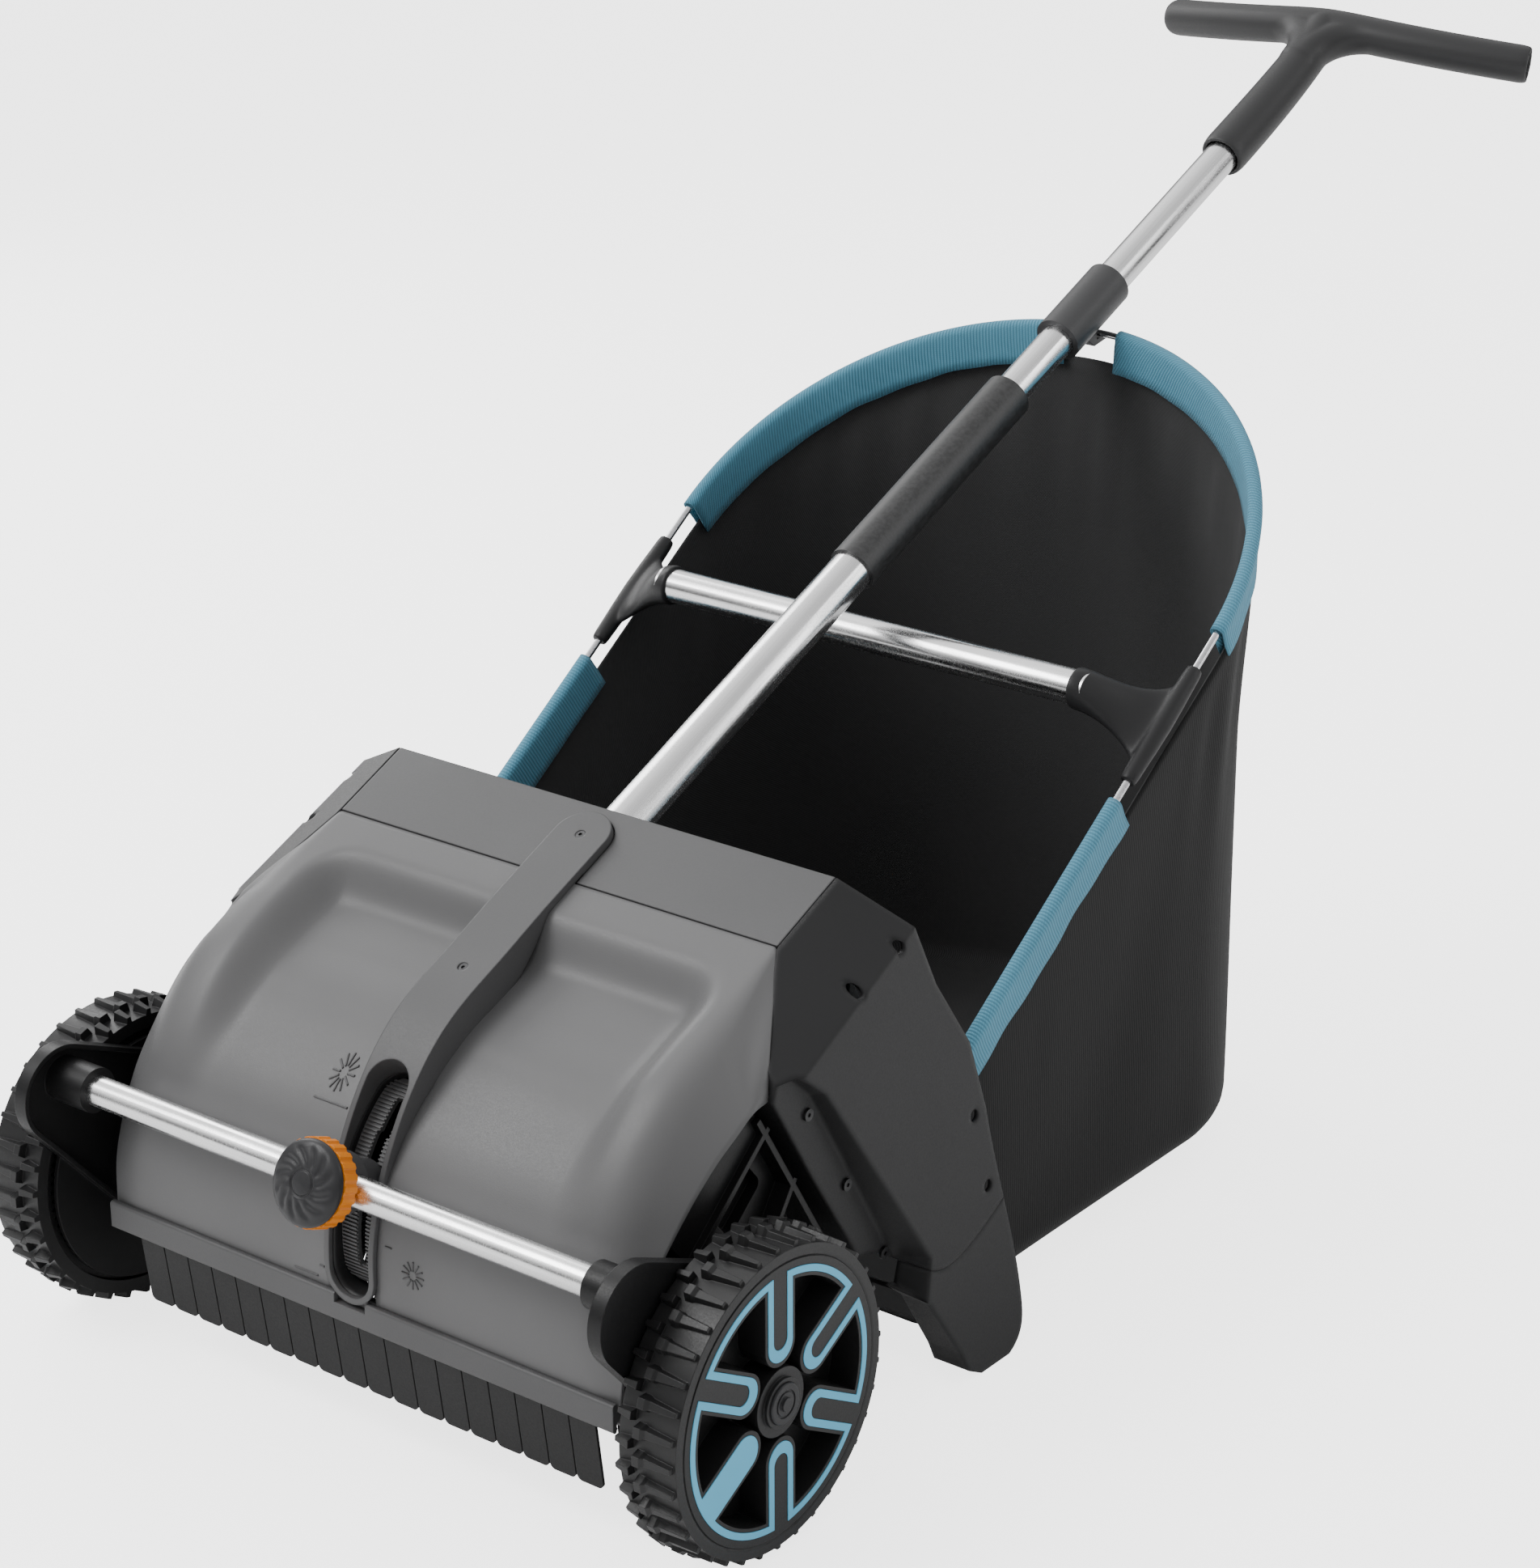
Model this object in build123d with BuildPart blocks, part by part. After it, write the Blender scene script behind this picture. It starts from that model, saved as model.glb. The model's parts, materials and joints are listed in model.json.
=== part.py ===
"""Push lawn sweeper: a brush housing on two wheels, a basket behind it and a long T-handle.

Frame: millimetres, +X to the right of the sweeper, -Y to the front, +Z up.  The origin is on the
ground, on the middle plane, halfway along the whole length.  Side profiles are drawn in planes
whose local coordinates are (distance behind the wheel axle, height).
"""
from build123d import *
from math import acos, atan2, cos, degrees, hypot, pi, radians, sin, tan
import os

os.makedirs("parts", exist_ok=True)

# ---------------------------------------------------------------- driving dimensions
AXLE_Y = -492.8            # the wheel axle, measured along Y from the origin
WHEEL_R = 97.0             # tread drum, without its lugs
LUG_HEIGHT = 6.0
AXLE_Z = WHEEL_R + LUG_HEIGHT
WHEEL_IN = 243.0           # inner face of the wheel, |X|
WHEEL_OUT = 284.7          # outer face of the wheel, |X|
HUB_R = 16.0

GEAR_MODULE = 2.0
RING_TEETH = 80
PINION_TEETH = 16
PRESSURE_ANGLE = radians(20)
BACKLASH = 0.35
GEAR_OFFSET = GEAR_MODULE * (RING_TEETH - PINION_TEETH) / 2
CARRIER_ANGLE = 30.0       # the brush shaft stands this far above level, seen from the axle
PIVOT = (GEAR_OFFSET * cos(radians(CARRIER_ANGLE)),
         AXLE_Z + GEAR_OFFSET * sin(radians(CARRIER_ANGLE)))

BAR_REACH = 137.0          # brush shaft to the height bar
BAR_ANGLE = 158.0          # direction of the height bar from the brush shaft
BAR_R = 10.0
ARM_IN, ARM_OUT = 232.0, 242.0
BOSS_IN = 207.0            # inner mouths of the arm bosses, |X|
SHAFT_R = 6.0
TRUNNION_R = 14.0
RUNNING = 0.05             # radial clearance of a shaft that turns
SNUG = 0.1                 # clearance of a fixed fit

BRUSH_R = 94.0
BRUSH_HALF = 183.0
WALL = 3.0

SLOPE = 23.8               # the top cover and the handle rise to the rear at this angle
CREASE_X = 194.0           # soft crease between the front of the shell and its side facet
FACET_X = 224.0            # lower edge of that facet
LIP_X = 211.0
LIP_Z = 98.0
SEAM_TOP = (131.0, 319.0)  # rear upper corner of the front shell
COVER_REAR = (189.7, 345.1)
COVER_HALF = 181.0
SPINE_HALF = 20.5
CHANNEL_HALF = 16.5
RACK_R = 103.0

RIM_SLOPE = 35.0           # the basket's rim rises to the rear at this angle
RIM_START = (432.0, 328.0) # a point of the rim rod: upper end of the lower band
ROD_R = 2.5
BASKET_HALF = 226.0
BASKET_FLOOR = 26.0
BASKET_FRONT = 236.0
BASKET_STRAIGHT = 551.0    # where the straight sides end and the round back begins
FABRIC = 2.5
FLOOR_CORNER = 16.0        # outer radius along the basket's bottom edge

POLE_END = (1049.0, 703.0) # middle of the T-grip
LOWER_POLE_R = 15.0
UPPER_POLE_R = 12.5
TUBE_WALL = 1.5
GRIP_HALF = 156.0


# ---------------------------------------------------------------- placing and writing helpers
def side_plane(x):
    """A plane facing +X whose local axes are (behind the axle, up)."""
    return Plane(origin=(x, AXLE_Y, 0), x_dir=(0, 1, 0), z_dir=(1, 0, 0))


def spot(x, behind, up):
    """A point given by X, its distance behind the axle and its height."""
    return Vector(x, AXLE_Y + behind, up)


def polar(radius, angle, centre=PIVOT):
    """A side-plane point at an angle from the rearward direction."""
    return (centre[0] + radius * cos(radians(angle)), centre[1] + radius * sin(radians(angle)))


def radial_plane(radius, angle):
    """A plane that faces away from the brush shaft, with its local X along the machine's X."""
    out = Vector(0, cos(radians(angle)), sin(radians(angle)))
    return Plane(origin=spot(0, *polar(radius, angle)), x_dir=(1, 0, 0), z_dir=out)


def slope_plane(x, behind, up):
    """A plane across the handle's direction, facing up the handle."""
    along = Vector(0, cos(radians(SLOPE)), sin(radians(SLOPE)))
    return Plane(origin=spot(x, behind, up), x_dir=(1, 0, 0), z_dir=along)


def on_pole(behind):
    """The point of the handle's centre line that lies this far behind the axle."""
    return (behind, POLE_END[1] - (POLE_END[0] - behind) * tan(radians(SLOPE)))


def on_rim(behind):
    """The height of the basket's rim plane."""
    return RIM_START[1] + (behind - RIM_START[0]) * tan(radians(RIM_SLOPE))


def save(part, name):
    part.label = name
    export_step(part, f"parts/{name}.step")


def save_pair(part, name):
    """Write the right-hand part and its mirror image."""
    save(part, f"{name}_right")
    with BuildPart() as left:
        add(part)
        mirror(about=Plane.YZ, mode=Mode.REPLACE)
    save(left.part, f"{name}_left")


# ---------------------------------------------------------------- housing volumes
def shell_outline(inset, facet):
    """Side outline of the front shell at its middle (facet=False) or at the facet's lower edge."""
    rise = (cos(radians(SLOPE)), sin(radians(SLOPE)))
    if facet:
        front = [(-58 + inset, LIP_Z), (-55 + inset, 127), (-27 + inset, 184 - inset),
                 (15 + inset / 2, 228 - inset), (72, 266 - inset), (140, 300 - inset)]
    else:
        front = [(-60 + inset, LIP_Z), (-60 + inset, 125), (-47 + inset, 184 - inset / 3),
                 (15 + inset / 2, 266 - inset), (72, 293 - inset), (140, 323 - inset)]
    low = -1 if inset else 0
    with BuildLine() as line:
        Polyline((front[0][0], LIP_Z + 4 * low), front[1])
        Spline(*front[1:], tangents=[(0, 1), rise])
        Polyline(front[-1], (150, LIP_Z + 4 * low), (front[0][0], LIP_Z + 4 * low))
    return line.line


def shell_volume(inset):
    """The front shell's outer volume, or with an inset the hollow inside it."""
    reach = 2 if inset else 0
    with BuildPart() as volume:
        with BuildSketch(side_plane(0)):
            add(shell_outline(inset, facet=False))
            make_face()
        extrude(amount=CREASE_X - inset)
        with BuildSketch(side_plane(CREASE_X - inset)):
            add(shell_outline(inset, facet=False))
            make_face()
        with BuildSketch(side_plane(FACET_X + reach)):
            add(shell_outline(inset, facet=True))
            make_face()
        loft()
        mirror(about=Plane.YZ)
    return volume.part


def scoop_curve(drop):
    """Side curve of the scooped floor beside the spine, from the lip side to the top cover."""
    return [(-53 + drop, 172), (-46 + drop, 185 - drop), (-29 + drop, 208 - drop),
            (4 + drop, 237 - drop), (43, 259 - drop), (74, 272 - drop), (92, 289 - drop),
            (111, 316 - drop)]


def scoop(drop):
    """What the scoop takes out of the front shell's outer volume."""
    points = scoop_curve(drop)
    with BuildPart() as cut:
        with BuildSketch(side_plane(-168 - drop)):
            with BuildLine():
                Spline(*points)
                Polyline(points[-1], (60, 340), (-90, 340), (-90, 172), points[0])
            make_face()
        extrude(amount=2 * (168 + drop))
    return cut.part


def seam_cut():
    """Everything behind the line where the front shell meets the cover and the side panels."""
    with BuildPart() as cut:
        with BuildSketch(side_plane(-240)):
            Polygon((SEAM_TOP[0], 360), SEAM_TOP, (74, 269), (69, 251), (69, 80), (260, 80),
                    (260, 360), align=None)
        extrude(amount=480)
    return cut.part


def channel(half_width, low, high, start, end, shift=0.0):
    """A round-ended channel that follows a circle about the brush shaft, cut along the radii."""
    middle = (start + end) / 2
    with BuildPart() as cut:
        with BuildSketch(side_plane(shift - half_width)):
            with BuildLine():
                Line(polar(low, start), polar(high, start))
                ThreePointArc(polar(high, start), polar(high, middle), polar(high, end))
                Line(polar(high, end), polar(low, end))
                ThreePointArc(polar(low, end), polar(low, middle), polar(low, start))
            make_face()
        extrude(amount=2 * half_width)
        for angle in (start, end):
            with BuildSketch(radial_plane(low, angle)):
                with Locations((shift, 0)):
                    Circle(half_width)
            extrude(amount=high - low)
    return cut.part


CHANNEL_START, CHANNEL_END = 129.0, 187.0


# ---------------------------------------------------------------- housing
def scooped_form(inset):
    """The front shell's outer form with its scoop, or with an inset the hollow inside it."""
    with BuildPart() as form:
        add(shell_volume(inset))
        add(scoop(inset), mode=Mode.SUBTRACT)
    return form.part


def make_front_shell():
    with BuildPart() as shell:
        add(scooped_form(0))
        add(scooped_form(WALL), mode=Mode.SUBTRACT)
        add(seam_cut(), mode=Mode.SUBTRACT)
        add(channel(CHANNEL_HALF + 0.5, 90, 150, CHANNEL_START, CHANNEL_END), mode=Mode.SUBTRACT)
    return shell.part


def cover_level(behind, lift=0.0):
    """A side-plane point at the top cover's outer surface, lifted square to it."""
    rise = tan(radians(SLOPE))
    height = COVER_REAR[1] - (COVER_REAR[0] - behind) * rise
    return (behind - lift * sin(radians(SLOPE)), height + lift * cos(radians(SLOPE)))


def spine_end_plane(lift):
    """A plane parallel to the top cover, with its local Y up the slope."""
    normal = Vector(0, -sin(radians(SLOPE)), cos(radians(SLOPE)))
    return Plane(origin=spot(0, *cover_level(SPINE_END, lift)), x_dir=(1, 0, 0), z_dir=normal)


SPINE_END = 163.0          # centre of the spine's round upper end, behind the axle
SPINE_LIFT = 5.0           # the spine stands this far above the top cover
LOWER_SCREW = (48.0, 286.3, 31.0)   # behind the axle, height and slope of the spine there
COVER_T = 2.5


def make_top_cover():
    front = cover_level(SEAM_TOP[0] + 1)
    front_under = cover_level(SEAM_TOP[0] + 1, -COVER_T)
    rear = COVER_REAR
    with BuildPart() as cover:
        with BuildSketch(side_plane(-COVER_HALF + 0.5)):
            Polygon(front, rear, (rear[0], rear[1] - 16), (rear[0] - COVER_T, rear[1] - 16),
                    cover_level(rear[0] - COVER_T, -COVER_T), front_under, align=None)
        extrude(amount=2 * COVER_HALF - 1)
        with BuildSketch(spine_end_plane(-20)):
            Circle(SPINE_HALF + 0.8)
            with Locations((0, -50)):
                Rectangle(2 * SPINE_HALF + 1.6, 100)
        extrude(amount=40, mode=Mode.SUBTRACT)
        with BuildSketch(slope_plane(0, *on_pole(150))):
            Circle(LOWER_POLE_R + 1)
        extrude(amount=80, mode=Mode.SUBTRACT)
    return cover.part


def make_spine_cover():
    """The raised spine.  It is drawn down into the shell and then cut to the shell's outer form."""
    top = [(-63.5, 126), (-50, 187), (12, 268), (60, 292), cover_level(112, SPINE_LIFT)]
    rise = (cos(radians(SLOPE)), sin(radians(SLOPE)))
    sunk = 10
    floor = scoop_curve(sunk)[:-1]
    with BuildPart() as spine:
        with BuildSketch(side_plane(-SPINE_HALF)):
            with BuildLine():
                Line((-63.5, LIP_Z), top[0])
                Spline(*top, tangents=[(0, 1), rise])
                Polyline(top[-1], cover_level(190, SPINE_LIFT), cover_level(190, -1),
                         cover_level(138, -1), (109, 295), floor[-1])
                Polyline(*reversed(floor))
                Polyline(floor[0], (-50, 125), (-50, LIP_Z), (-63.5, LIP_Z))
            make_face()
        extrude(amount=2 * SPINE_HALF)
        with BuildSketch(radial_plane(90, CHANNEL_END)):
            with Locations((0, -30)):
                Rectangle(80, 60)
            Circle(SPINE_HALF, mode=Mode.SUBTRACT)
        extrude(amount=60, mode=Mode.SUBTRACT)
        with BuildSketch(spine_end_plane(-20)):
            with Locations((0, 30)):
                Rectangle(80, 60)
            Circle(SPINE_HALF, mode=Mode.SUBTRACT)
        extrude(amount=40, mode=Mode.SUBTRACT)
        add(scooped_form(0), mode=Mode.SUBTRACT)
        add(channel(CHANNEL_HALF, 90, 150, CHANNEL_START, CHANNEL_END), mode=Mode.SUBTRACT)
        with BuildSketch(side_plane(-SPINE_HALF + 2.5)):
            Polygon((44, 250), (44, 274), (62, 284), (98, 302), (98, 280), (92, 270), align=None)
        extrude(amount=2 * SPINE_HALF - 5, mode=Mode.SUBTRACT)
        with BuildSketch(slope_plane(0, *on_pole(110))):
            Circle(LOWER_POLE_R + 0.5)
        extrude(amount=120, mode=Mode.SUBTRACT)
        for plane in spine_screw_planes():
            with BuildSketch(plane.offset(-2)):
                Circle(3.4)
            extrude(amount=20, mode=Mode.SUBTRACT)
            with BuildSketch(plane.offset(-2)):
                Circle(1.8)
            extrude(amount=-20, mode=Mode.SUBTRACT)
    return spine.part


def spine_screw_planes():
    """Planes of the two screws in the spine's top, facing out of it."""
    behind, height, slope = LOWER_SCREW
    normal = Vector(0, -sin(radians(slope)), cos(radians(slope)))
    lower = Plane(origin=spot(0, behind, height), x_dir=(1, 0, 0), z_dir=normal)
    return [spine_end_plane(SPINE_LIFT), lower]


def make_spine_screws():
    with BuildPart() as screws:
        for plane in spine_screw_planes():
            with BuildSketch(plane.offset(-1.9)):
                Circle(3.2)
            extrude(amount=1.6)
            with BuildSketch(plane.offset(-0.3)):
                RegularPolygon(1.4, 6)
            extrude(amount=-1.0, mode=Mode.SUBTRACT)
            with BuildSketch(plane.offset(-1.9)):
                Circle(1.6)
            extrude(amount=-3.5)
    return screws.part


def make_slot_rack():
    """Curved floor of the height slot: fine cross ribs and a stepped slot along its middle."""
    start, end = CHANNEL_START - 8, CHANNEL_END + 8
    middle = (start + end) / 2
    rib_step = 1.4
    slot_half = 3.6
    with BuildPart() as rack:
        with BuildSketch(side_plane(-SPINE_HALF - 1)):
            with BuildLine():
                Line(polar(RACK_R, start), polar(RACK_R + 3, start))
                ThreePointArc(polar(RACK_R + 3, start), polar(RACK_R + 3, middle), polar(RACK_R + 3, end))
                Line(polar(RACK_R + 3, end), polar(RACK_R, end))
                ThreePointArc(polar(RACK_R, end), polar(RACK_R, middle), polar(RACK_R, start))
            make_face()
        extrude(amount=2 * SPINE_HALF + 2)
        with BuildSketch(side_plane(-CHANNEL_HALF + 0.8)):
            for count in range(int((end - start - 2) / rib_step)):
                angle = start + 2 + count * rib_step
                with Locations(Location((*polar(RACK_R + 3.4, angle), 0), (0, 0, angle))):
                    Rectangle(2.0, 1.2)
        extrude(amount=2 * CHANNEL_HALF - 1.6)
        add(channel(slot_half, 90, 112, CHANNEL_START + 1, CHANNEL_END - 1), mode=Mode.SUBTRACT)
        for angle, shift in ((CHANNEL_START + 3, 1.8), (CHANNEL_START + 13, -1.8)):
            add(channel(slot_half, 90, 112, angle, angle + 9, shift), mode=Mode.SUBTRACT)
    return rack.part


LIP_HINGE = (-58.0, 89.0)


def make_front_lip():
    """Trim along the shell's lower edge; it grips the shell above and the flap bead below."""
    y, z = LIP_HINGE
    with BuildPart() as lip:
        with BuildSketch(side_plane(-LIP_X)):
            with Locations((y - 0.5, z + 5)):
                RectangleRounded(12, 19, 2)
            with Locations((y + 0.4, z + 13)):
                Rectangle(5.6, 9, mode=Mode.SUBTRACT)
            with Locations((y, z)):
                Circle(3.1, mode=Mode.SUBTRACT)
            Polygon((y - 1.6, z), (y + 1.6, z), (y + 4.6, z - 6), (y - 4.6, z - 6), align=None,
                    mode=Mode.SUBTRACT)
        extrude(amount=2 * LIP_X)
        with Locations(spot(0, y - 5, z + 12)):
            Box(26, 12, 8, mode=Mode.SUBTRACT)
    return lip.part


FLAP_COUNT = 18
FLAP_PITCH = 21.3
FLAP_LENGTH = 56.0


def make_front_flaps():
    """A rubber apron: one bead in the lip, slit into hanging flaps with round lower corners."""
    lean = Vector(0, -58, -8)
    flap_plane = Plane(origin=spot(0, *LIP_HINGE), x_dir=(1, 0, 0), z_dir=lean)
    with BuildPart() as flaps:
        with BuildSketch(side_plane(-FLAP_PITCH * FLAP_COUNT / 2)):
            with Locations(LIP_HINGE):
                Circle(3.0)
        extrude(amount=FLAP_PITCH * FLAP_COUNT)
        with BuildSketch(flap_plane.offset(-1)):
            with Locations((0, -FLAP_LENGTH / 2)):
                with GridLocations(FLAP_PITCH, 1, FLAP_COUNT, 1):
                    RectangleRounded(FLAP_PITCH - 1, FLAP_LENGTH, 4)
            with Locations((0, -4)):
                Rectangle(FLAP_PITCH * FLAP_COUNT - 1, 8)
        extrude(amount=2)
    return flaps.part


# ---------------------------------------------------------------- side panels and feet
FOOT_SEAM = [(150, 112), (181, 103), (206, 89), (240, 92), (320, 128)]
PANEL_IN = 181.5


def panel_outline(inset):
    """Side outline of a side panel with its leg down to the ground."""
    front = [SEAM_TOP, (74, 269), (69, 251), (105, 191), (145, 129), (168, 93), (195, 70), (225, 22)]
    rear = [(267, 176), (254, 226), (223, 276), (205, 320), COVER_REAR]
    with BuildSketch(side_plane(0)) as outline:
        with BuildLine():
            Polyline(*front, (232, 7))
            Line((232, 7), (245, 0))
            Line((245, 0), (276, 0))
            Spline((276, 0), (292, 16), (293, 35), (286, 82), (276, 128), rear[0])
            Polyline(*rear, SEAM_TOP)
        make_face()
        if inset:
            offset(amount=-inset, kind=Kind.INTERSECTION)
    return outline.sketch_local


def outer_x(height, inset=0.0):
    """The side panel's outer face leans out towards the ground."""
    return 258 - 0.0875 * height - inset


def flange_outline(grow):
    """The sunk strip along the panel's front edge that carries the flange screws."""
    with BuildSketch(side_plane(0)) as strip:
        Polygon((52 - grow, 262), (69 - grow, 230), (158 - grow, 90), (186 + grow, 84 - grow),
                (190 + grow, 98), (104 + grow, 244 + grow), (84 + grow, 262 + grow), align=None)
    return strip.sketch_local


FLANGE_X = 226.0
FLANGE_TAPER = -22.0
SHOULDER = 0.612           # fall of the panel's sloping shoulder per unit of width


def panel_volume(inset):
    """The side panel's outer volume, or with an inset the hollow inside it, open to the rear."""
    low = 120 if inset else PANEL_IN
    with BuildPart() as volume:
        with BuildSketch(side_plane(low)):
            add(panel_outline(inset))
            if inset:
                for shift in (14, 28):
                    add(panel_outline(inset).moved(Location((shift, 0, 0))))
        extrude(amount=265 - low)
        # outer face
        with BuildSketch(Plane(origin=spot(0, 400, 0), x_dir=(1, 0, 0), z_dir=(0, -1, 0))):
            Polygon((outer_x(-20, inset), -20), (outer_x(400, inset), 400), (320, 400), (320, -20),
                    align=None)
        extrude(amount=440, mode=Mode.SUBTRACT)
        # sloping shoulder beside the top cover
        with BuildSketch(slope_plane(0, *cover_level(0))):
            drop = inset * 1.17
            Polygon((PANEL_IN - 60, drop - 60 * SHOULDER), (PANEL_IN - 60, -80), (PANEL_IN + 120, -80),
                    (PANEL_IN + 120, 120 * SHOULDER + drop), align=None)
        extrude(amount=400, both=True, mode=Mode.SUBTRACT)
        # sunk flange, with a wall that slopes up to the outer face
        with BuildSketch(side_plane(FLANGE_X - inset)):
            add(flange_outline(inset))
        extrude(amount=60, taper=FLANGE_TAPER, mode=Mode.SUBTRACT)
    return volume.part


def seam_side(gap, far_height):
    """The region on one side of the seam between the side panel and its foot."""
    points = [(y, z - gap) for y, z in FOOT_SEAM]
    with BuildPart() as region:
        with BuildSketch(side_plane(150)):
            with BuildLine():
                Spline(*points)
                Polyline(points[-1], (320, far_height), (150, far_height), points[0])
            make_face()
        extrude(amount=160)
    return region.part


# behind the axle, height, |X| of the screw's seat, length of its shank
PANEL_SCREWS = [(190, 311, 216, 12), (149, 296, 217, 12), (254, 176, 234, 4), (264, 124, 238, 8)]
FLANGE_SCREWS = [(102, 232), (141, 169), (180, 105)]


def make_side_panel():
    with BuildPart() as panel:
        add(panel_volume(0))
        add(panel_volume(WALL), mode=Mode.SUBTRACT)
        add(seam_side(0, -30), mode=Mode.SUBTRACT)
        with Locations(spot(150, 150, 120)):
            Box(2 * 52.5, 400, 2 * 142, mode=Mode.SUBTRACT)
        with BuildSketch(side_plane(190)):
            with Locations(*[(behind, up) for behind, up, seat, shank in PANEL_SCREWS]):
                Circle(4.2)
        extrude(amount=80, mode=Mode.SUBTRACT)
        with BuildSketch(side_plane(210)):
            with Locations(*FLANGE_SCREWS):
                Circle(1.9)
        extrude(amount=30, mode=Mode.SUBTRACT)
    return panel.part


FOOT_IN = 229.5


def make_foot():
    with BuildPart() as foot:
        add(panel_volume(0))
        add(seam_side(0.3, 420), mode=Mode.SUBTRACT)
        with Locations(spot(100, 150, 200)):
            Box(2 * (FOOT_IN - 100), 700, 600, mode=Mode.SUBTRACT)
        with Locations(spot(230, 50, 200)):
            Box(200, 200, 600, mode=Mode.SUBTRACT)
        with BuildSketch(side_plane(FOOT_IN)):
            Polygon((200, 76), (228, 29), (238, 10), (280, 10), (285, 35), (278, 84), (240, 80),
                    (208, 78), align=None)
        extrude(amount=17, mode=Mode.SUBTRACT)
    return foot.part


def make_panel_screws():
    """Screws deep in the panel's four round holes on each side."""
    with BuildPart() as screws:
        for behind, up, seat, shank in PANEL_SCREWS:
            with BuildSketch(side_plane(seat)):
                with Locations((behind, up)):
                    Circle(3.6)
            extrude(amount=3)
            with BuildSketch(side_plane(seat)):
                with Locations((behind, up)):
                    Circle(1.8)
            extrude(amount=-shank)
        mirror(about=Plane.YZ)
    return screws.part


def make_flange_screws():
    with BuildPart() as screws:
        with BuildSketch(side_plane(FLANGE_X + 0.1)):
            with Locations(*FLANGE_SCREWS):
                Circle(4)
        extrude(amount=1.8)
        with BuildSketch(side_plane(FLANGE_X + 1.9)):
            with Locations(*FLANGE_SCREWS):
                RegularPolygon(1.5, 6)
        extrude(amount=-1.0, mode=Mode.SUBTRACT)
        with BuildSketch(side_plane(FLANGE_X + 0.1)):
            with Locations(*FLANGE_SCREWS):
                Circle(1.8)
        extrude(amount=-14)
        mirror(about=Plane.YZ)
    return screws.part


# ---------------------------------------------------------------- inner frame
PLATE_X = 196.0
FRAME_RIBS = [((64, 240), (134, 124)), ((74, 232), (2, 170)), ((100, 188), (74, 150)),
              ((2, 170), (-28, 150))]


def make_side_frame():
    """The plate that closes one end of the brush chamber and carries an arm's trunnion."""
    edge = [(-46, 104), (-46, 127), (-34, 180), (-8, 222), (22, 246), (60, 250), (112, 272),
            (158, 292), (182, 286), (200, 250), (214, 180), (206, 122), (150, 60), (128, 34),
            (100, 28), (10, 28), (-24, 40), (-42, 62)]
    with BuildPart() as frame:
        with BuildSketch(side_plane(PLATE_X)):
            Polygon(*edge, align=None)
        extrude(amount=WALL)
        with BuildSketch(side_plane(190)):
            with Locations(PIVOT):
                Circle(21)
        extrude(amount=15)
        # stepped webs and ribs seen between the shell and the side panel
        with BuildSketch(side_plane(PLATE_X)):
            Polygon((38, 244), (62, 246), (74, 232), (2, 170), (-18, 192), align=None)
        extrude(amount=18)
        with BuildSketch(side_plane(PLATE_X)):
            Polygon((74, 232), (100, 188), (74, 150), (2, 170), align=None)
            with Locations(Location((58, 186, 0), (0, 0, 40))):
                RectangleRounded(40, 24, 6, mode=Mode.SUBTRACT)
        extrude(amount=11)
        with BuildSketch(side_plane(PLATE_X)):
            for start, end in FRAME_RIBS:
                middle = ((start[0] + end[0]) / 2, (start[1] + end[1]) / 2)
                turn = degrees(atan2(end[1] - start[1], end[0] - start[0]))
                with Locations(Location((*middle, 0), (0, 0, turn))):
                    Rectangle(hypot(end[0] - start[0], end[1] - start[1]), 4)
        extrude(amount=23)
        with BuildSketch(side_plane(180)):
            with Locations(PIVOT):
                Circle(TRUNNION_R + RUNNING)
        extrude(amount=60, mode=Mode.SUBTRACT)
    return frame.part


def make_rear_ramp():
    """Curved sheet behind the brush, then a shelf down to the basket's mouth, ribbed below."""
    low, high = -80.0, -20.0
    inner, outer = BRUSH_R + 3, BRUSH_R + 5.5
    crest = polar(inner, high)
    crest_low = polar(outer, high)
    with BuildPart() as ramp:
        with BuildSketch(side_plane(-PLATE_X + 0.4)):
            with BuildLine():
                ThreePointArc(polar(inner, low), polar(inner, (low + high) / 2), crest)
                Polyline(crest, (crest[0] + 3, crest[1]), (233, 49), (232, 46), crest_low)
                ThreePointArc(crest_low, polar(outer, (low + high) / 2), polar(outer, low))
                Line(polar(outer, low), polar(inner, low))
            make_face()
        extrude(amount=2 * PLATE_X - 0.8)
        with BuildSketch(side_plane(-PLATE_X + 0.4)):
            Polygon((160, 92), (226, 50), (226, 44), (160, 84), align=None)
        extrude(amount=2.5)
        for x in range(-180, 181, 20):
            with BuildSketch(side_plane(x)):
                Polygon((156, 94), (228, 49), (228, 45), (156, 86), align=None)
            extrude(amount=2.5)
    return ramp.part


BEAM = (152.0, 264.0, 28.0, 22.0)     # front, bottom, depth and height of the cross beam


def make_chassis_beam():
    front, bottom, depth, height = BEAM
    with BuildPart() as beam:
        with BuildSketch(side_plane(-PLATE_X + 0.4)):
            with Locations((front + depth / 2, bottom + height / 2)):
                RectangleRounded(depth, height, 3)
                RectangleRounded(depth - 5, height - 5, 1, mode=Mode.SUBTRACT)
        extrude(amount=2 * PLATE_X - 0.8)
    return beam.part


def make_pole_socket():
    front, bottom, depth, height = BEAM
    with BuildPart() as socket:
        with BuildSketch(slope_plane(0, *on_pole(137))):
            with Locations((0, 5)):
                Rectangle(44, 42)
        extrude(amount=50)
        with Locations(spot(0, 160, bottom + height - 50)):
            Box(80, 120, 100.4, mode=Mode.SUBTRACT)
        with BuildSketch(slope_plane(0, *on_pole(100))):
            Circle(LOWER_POLE_R + SNUG)
        extrude(amount=160, mode=Mode.SUBTRACT)
    return socket.part


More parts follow.
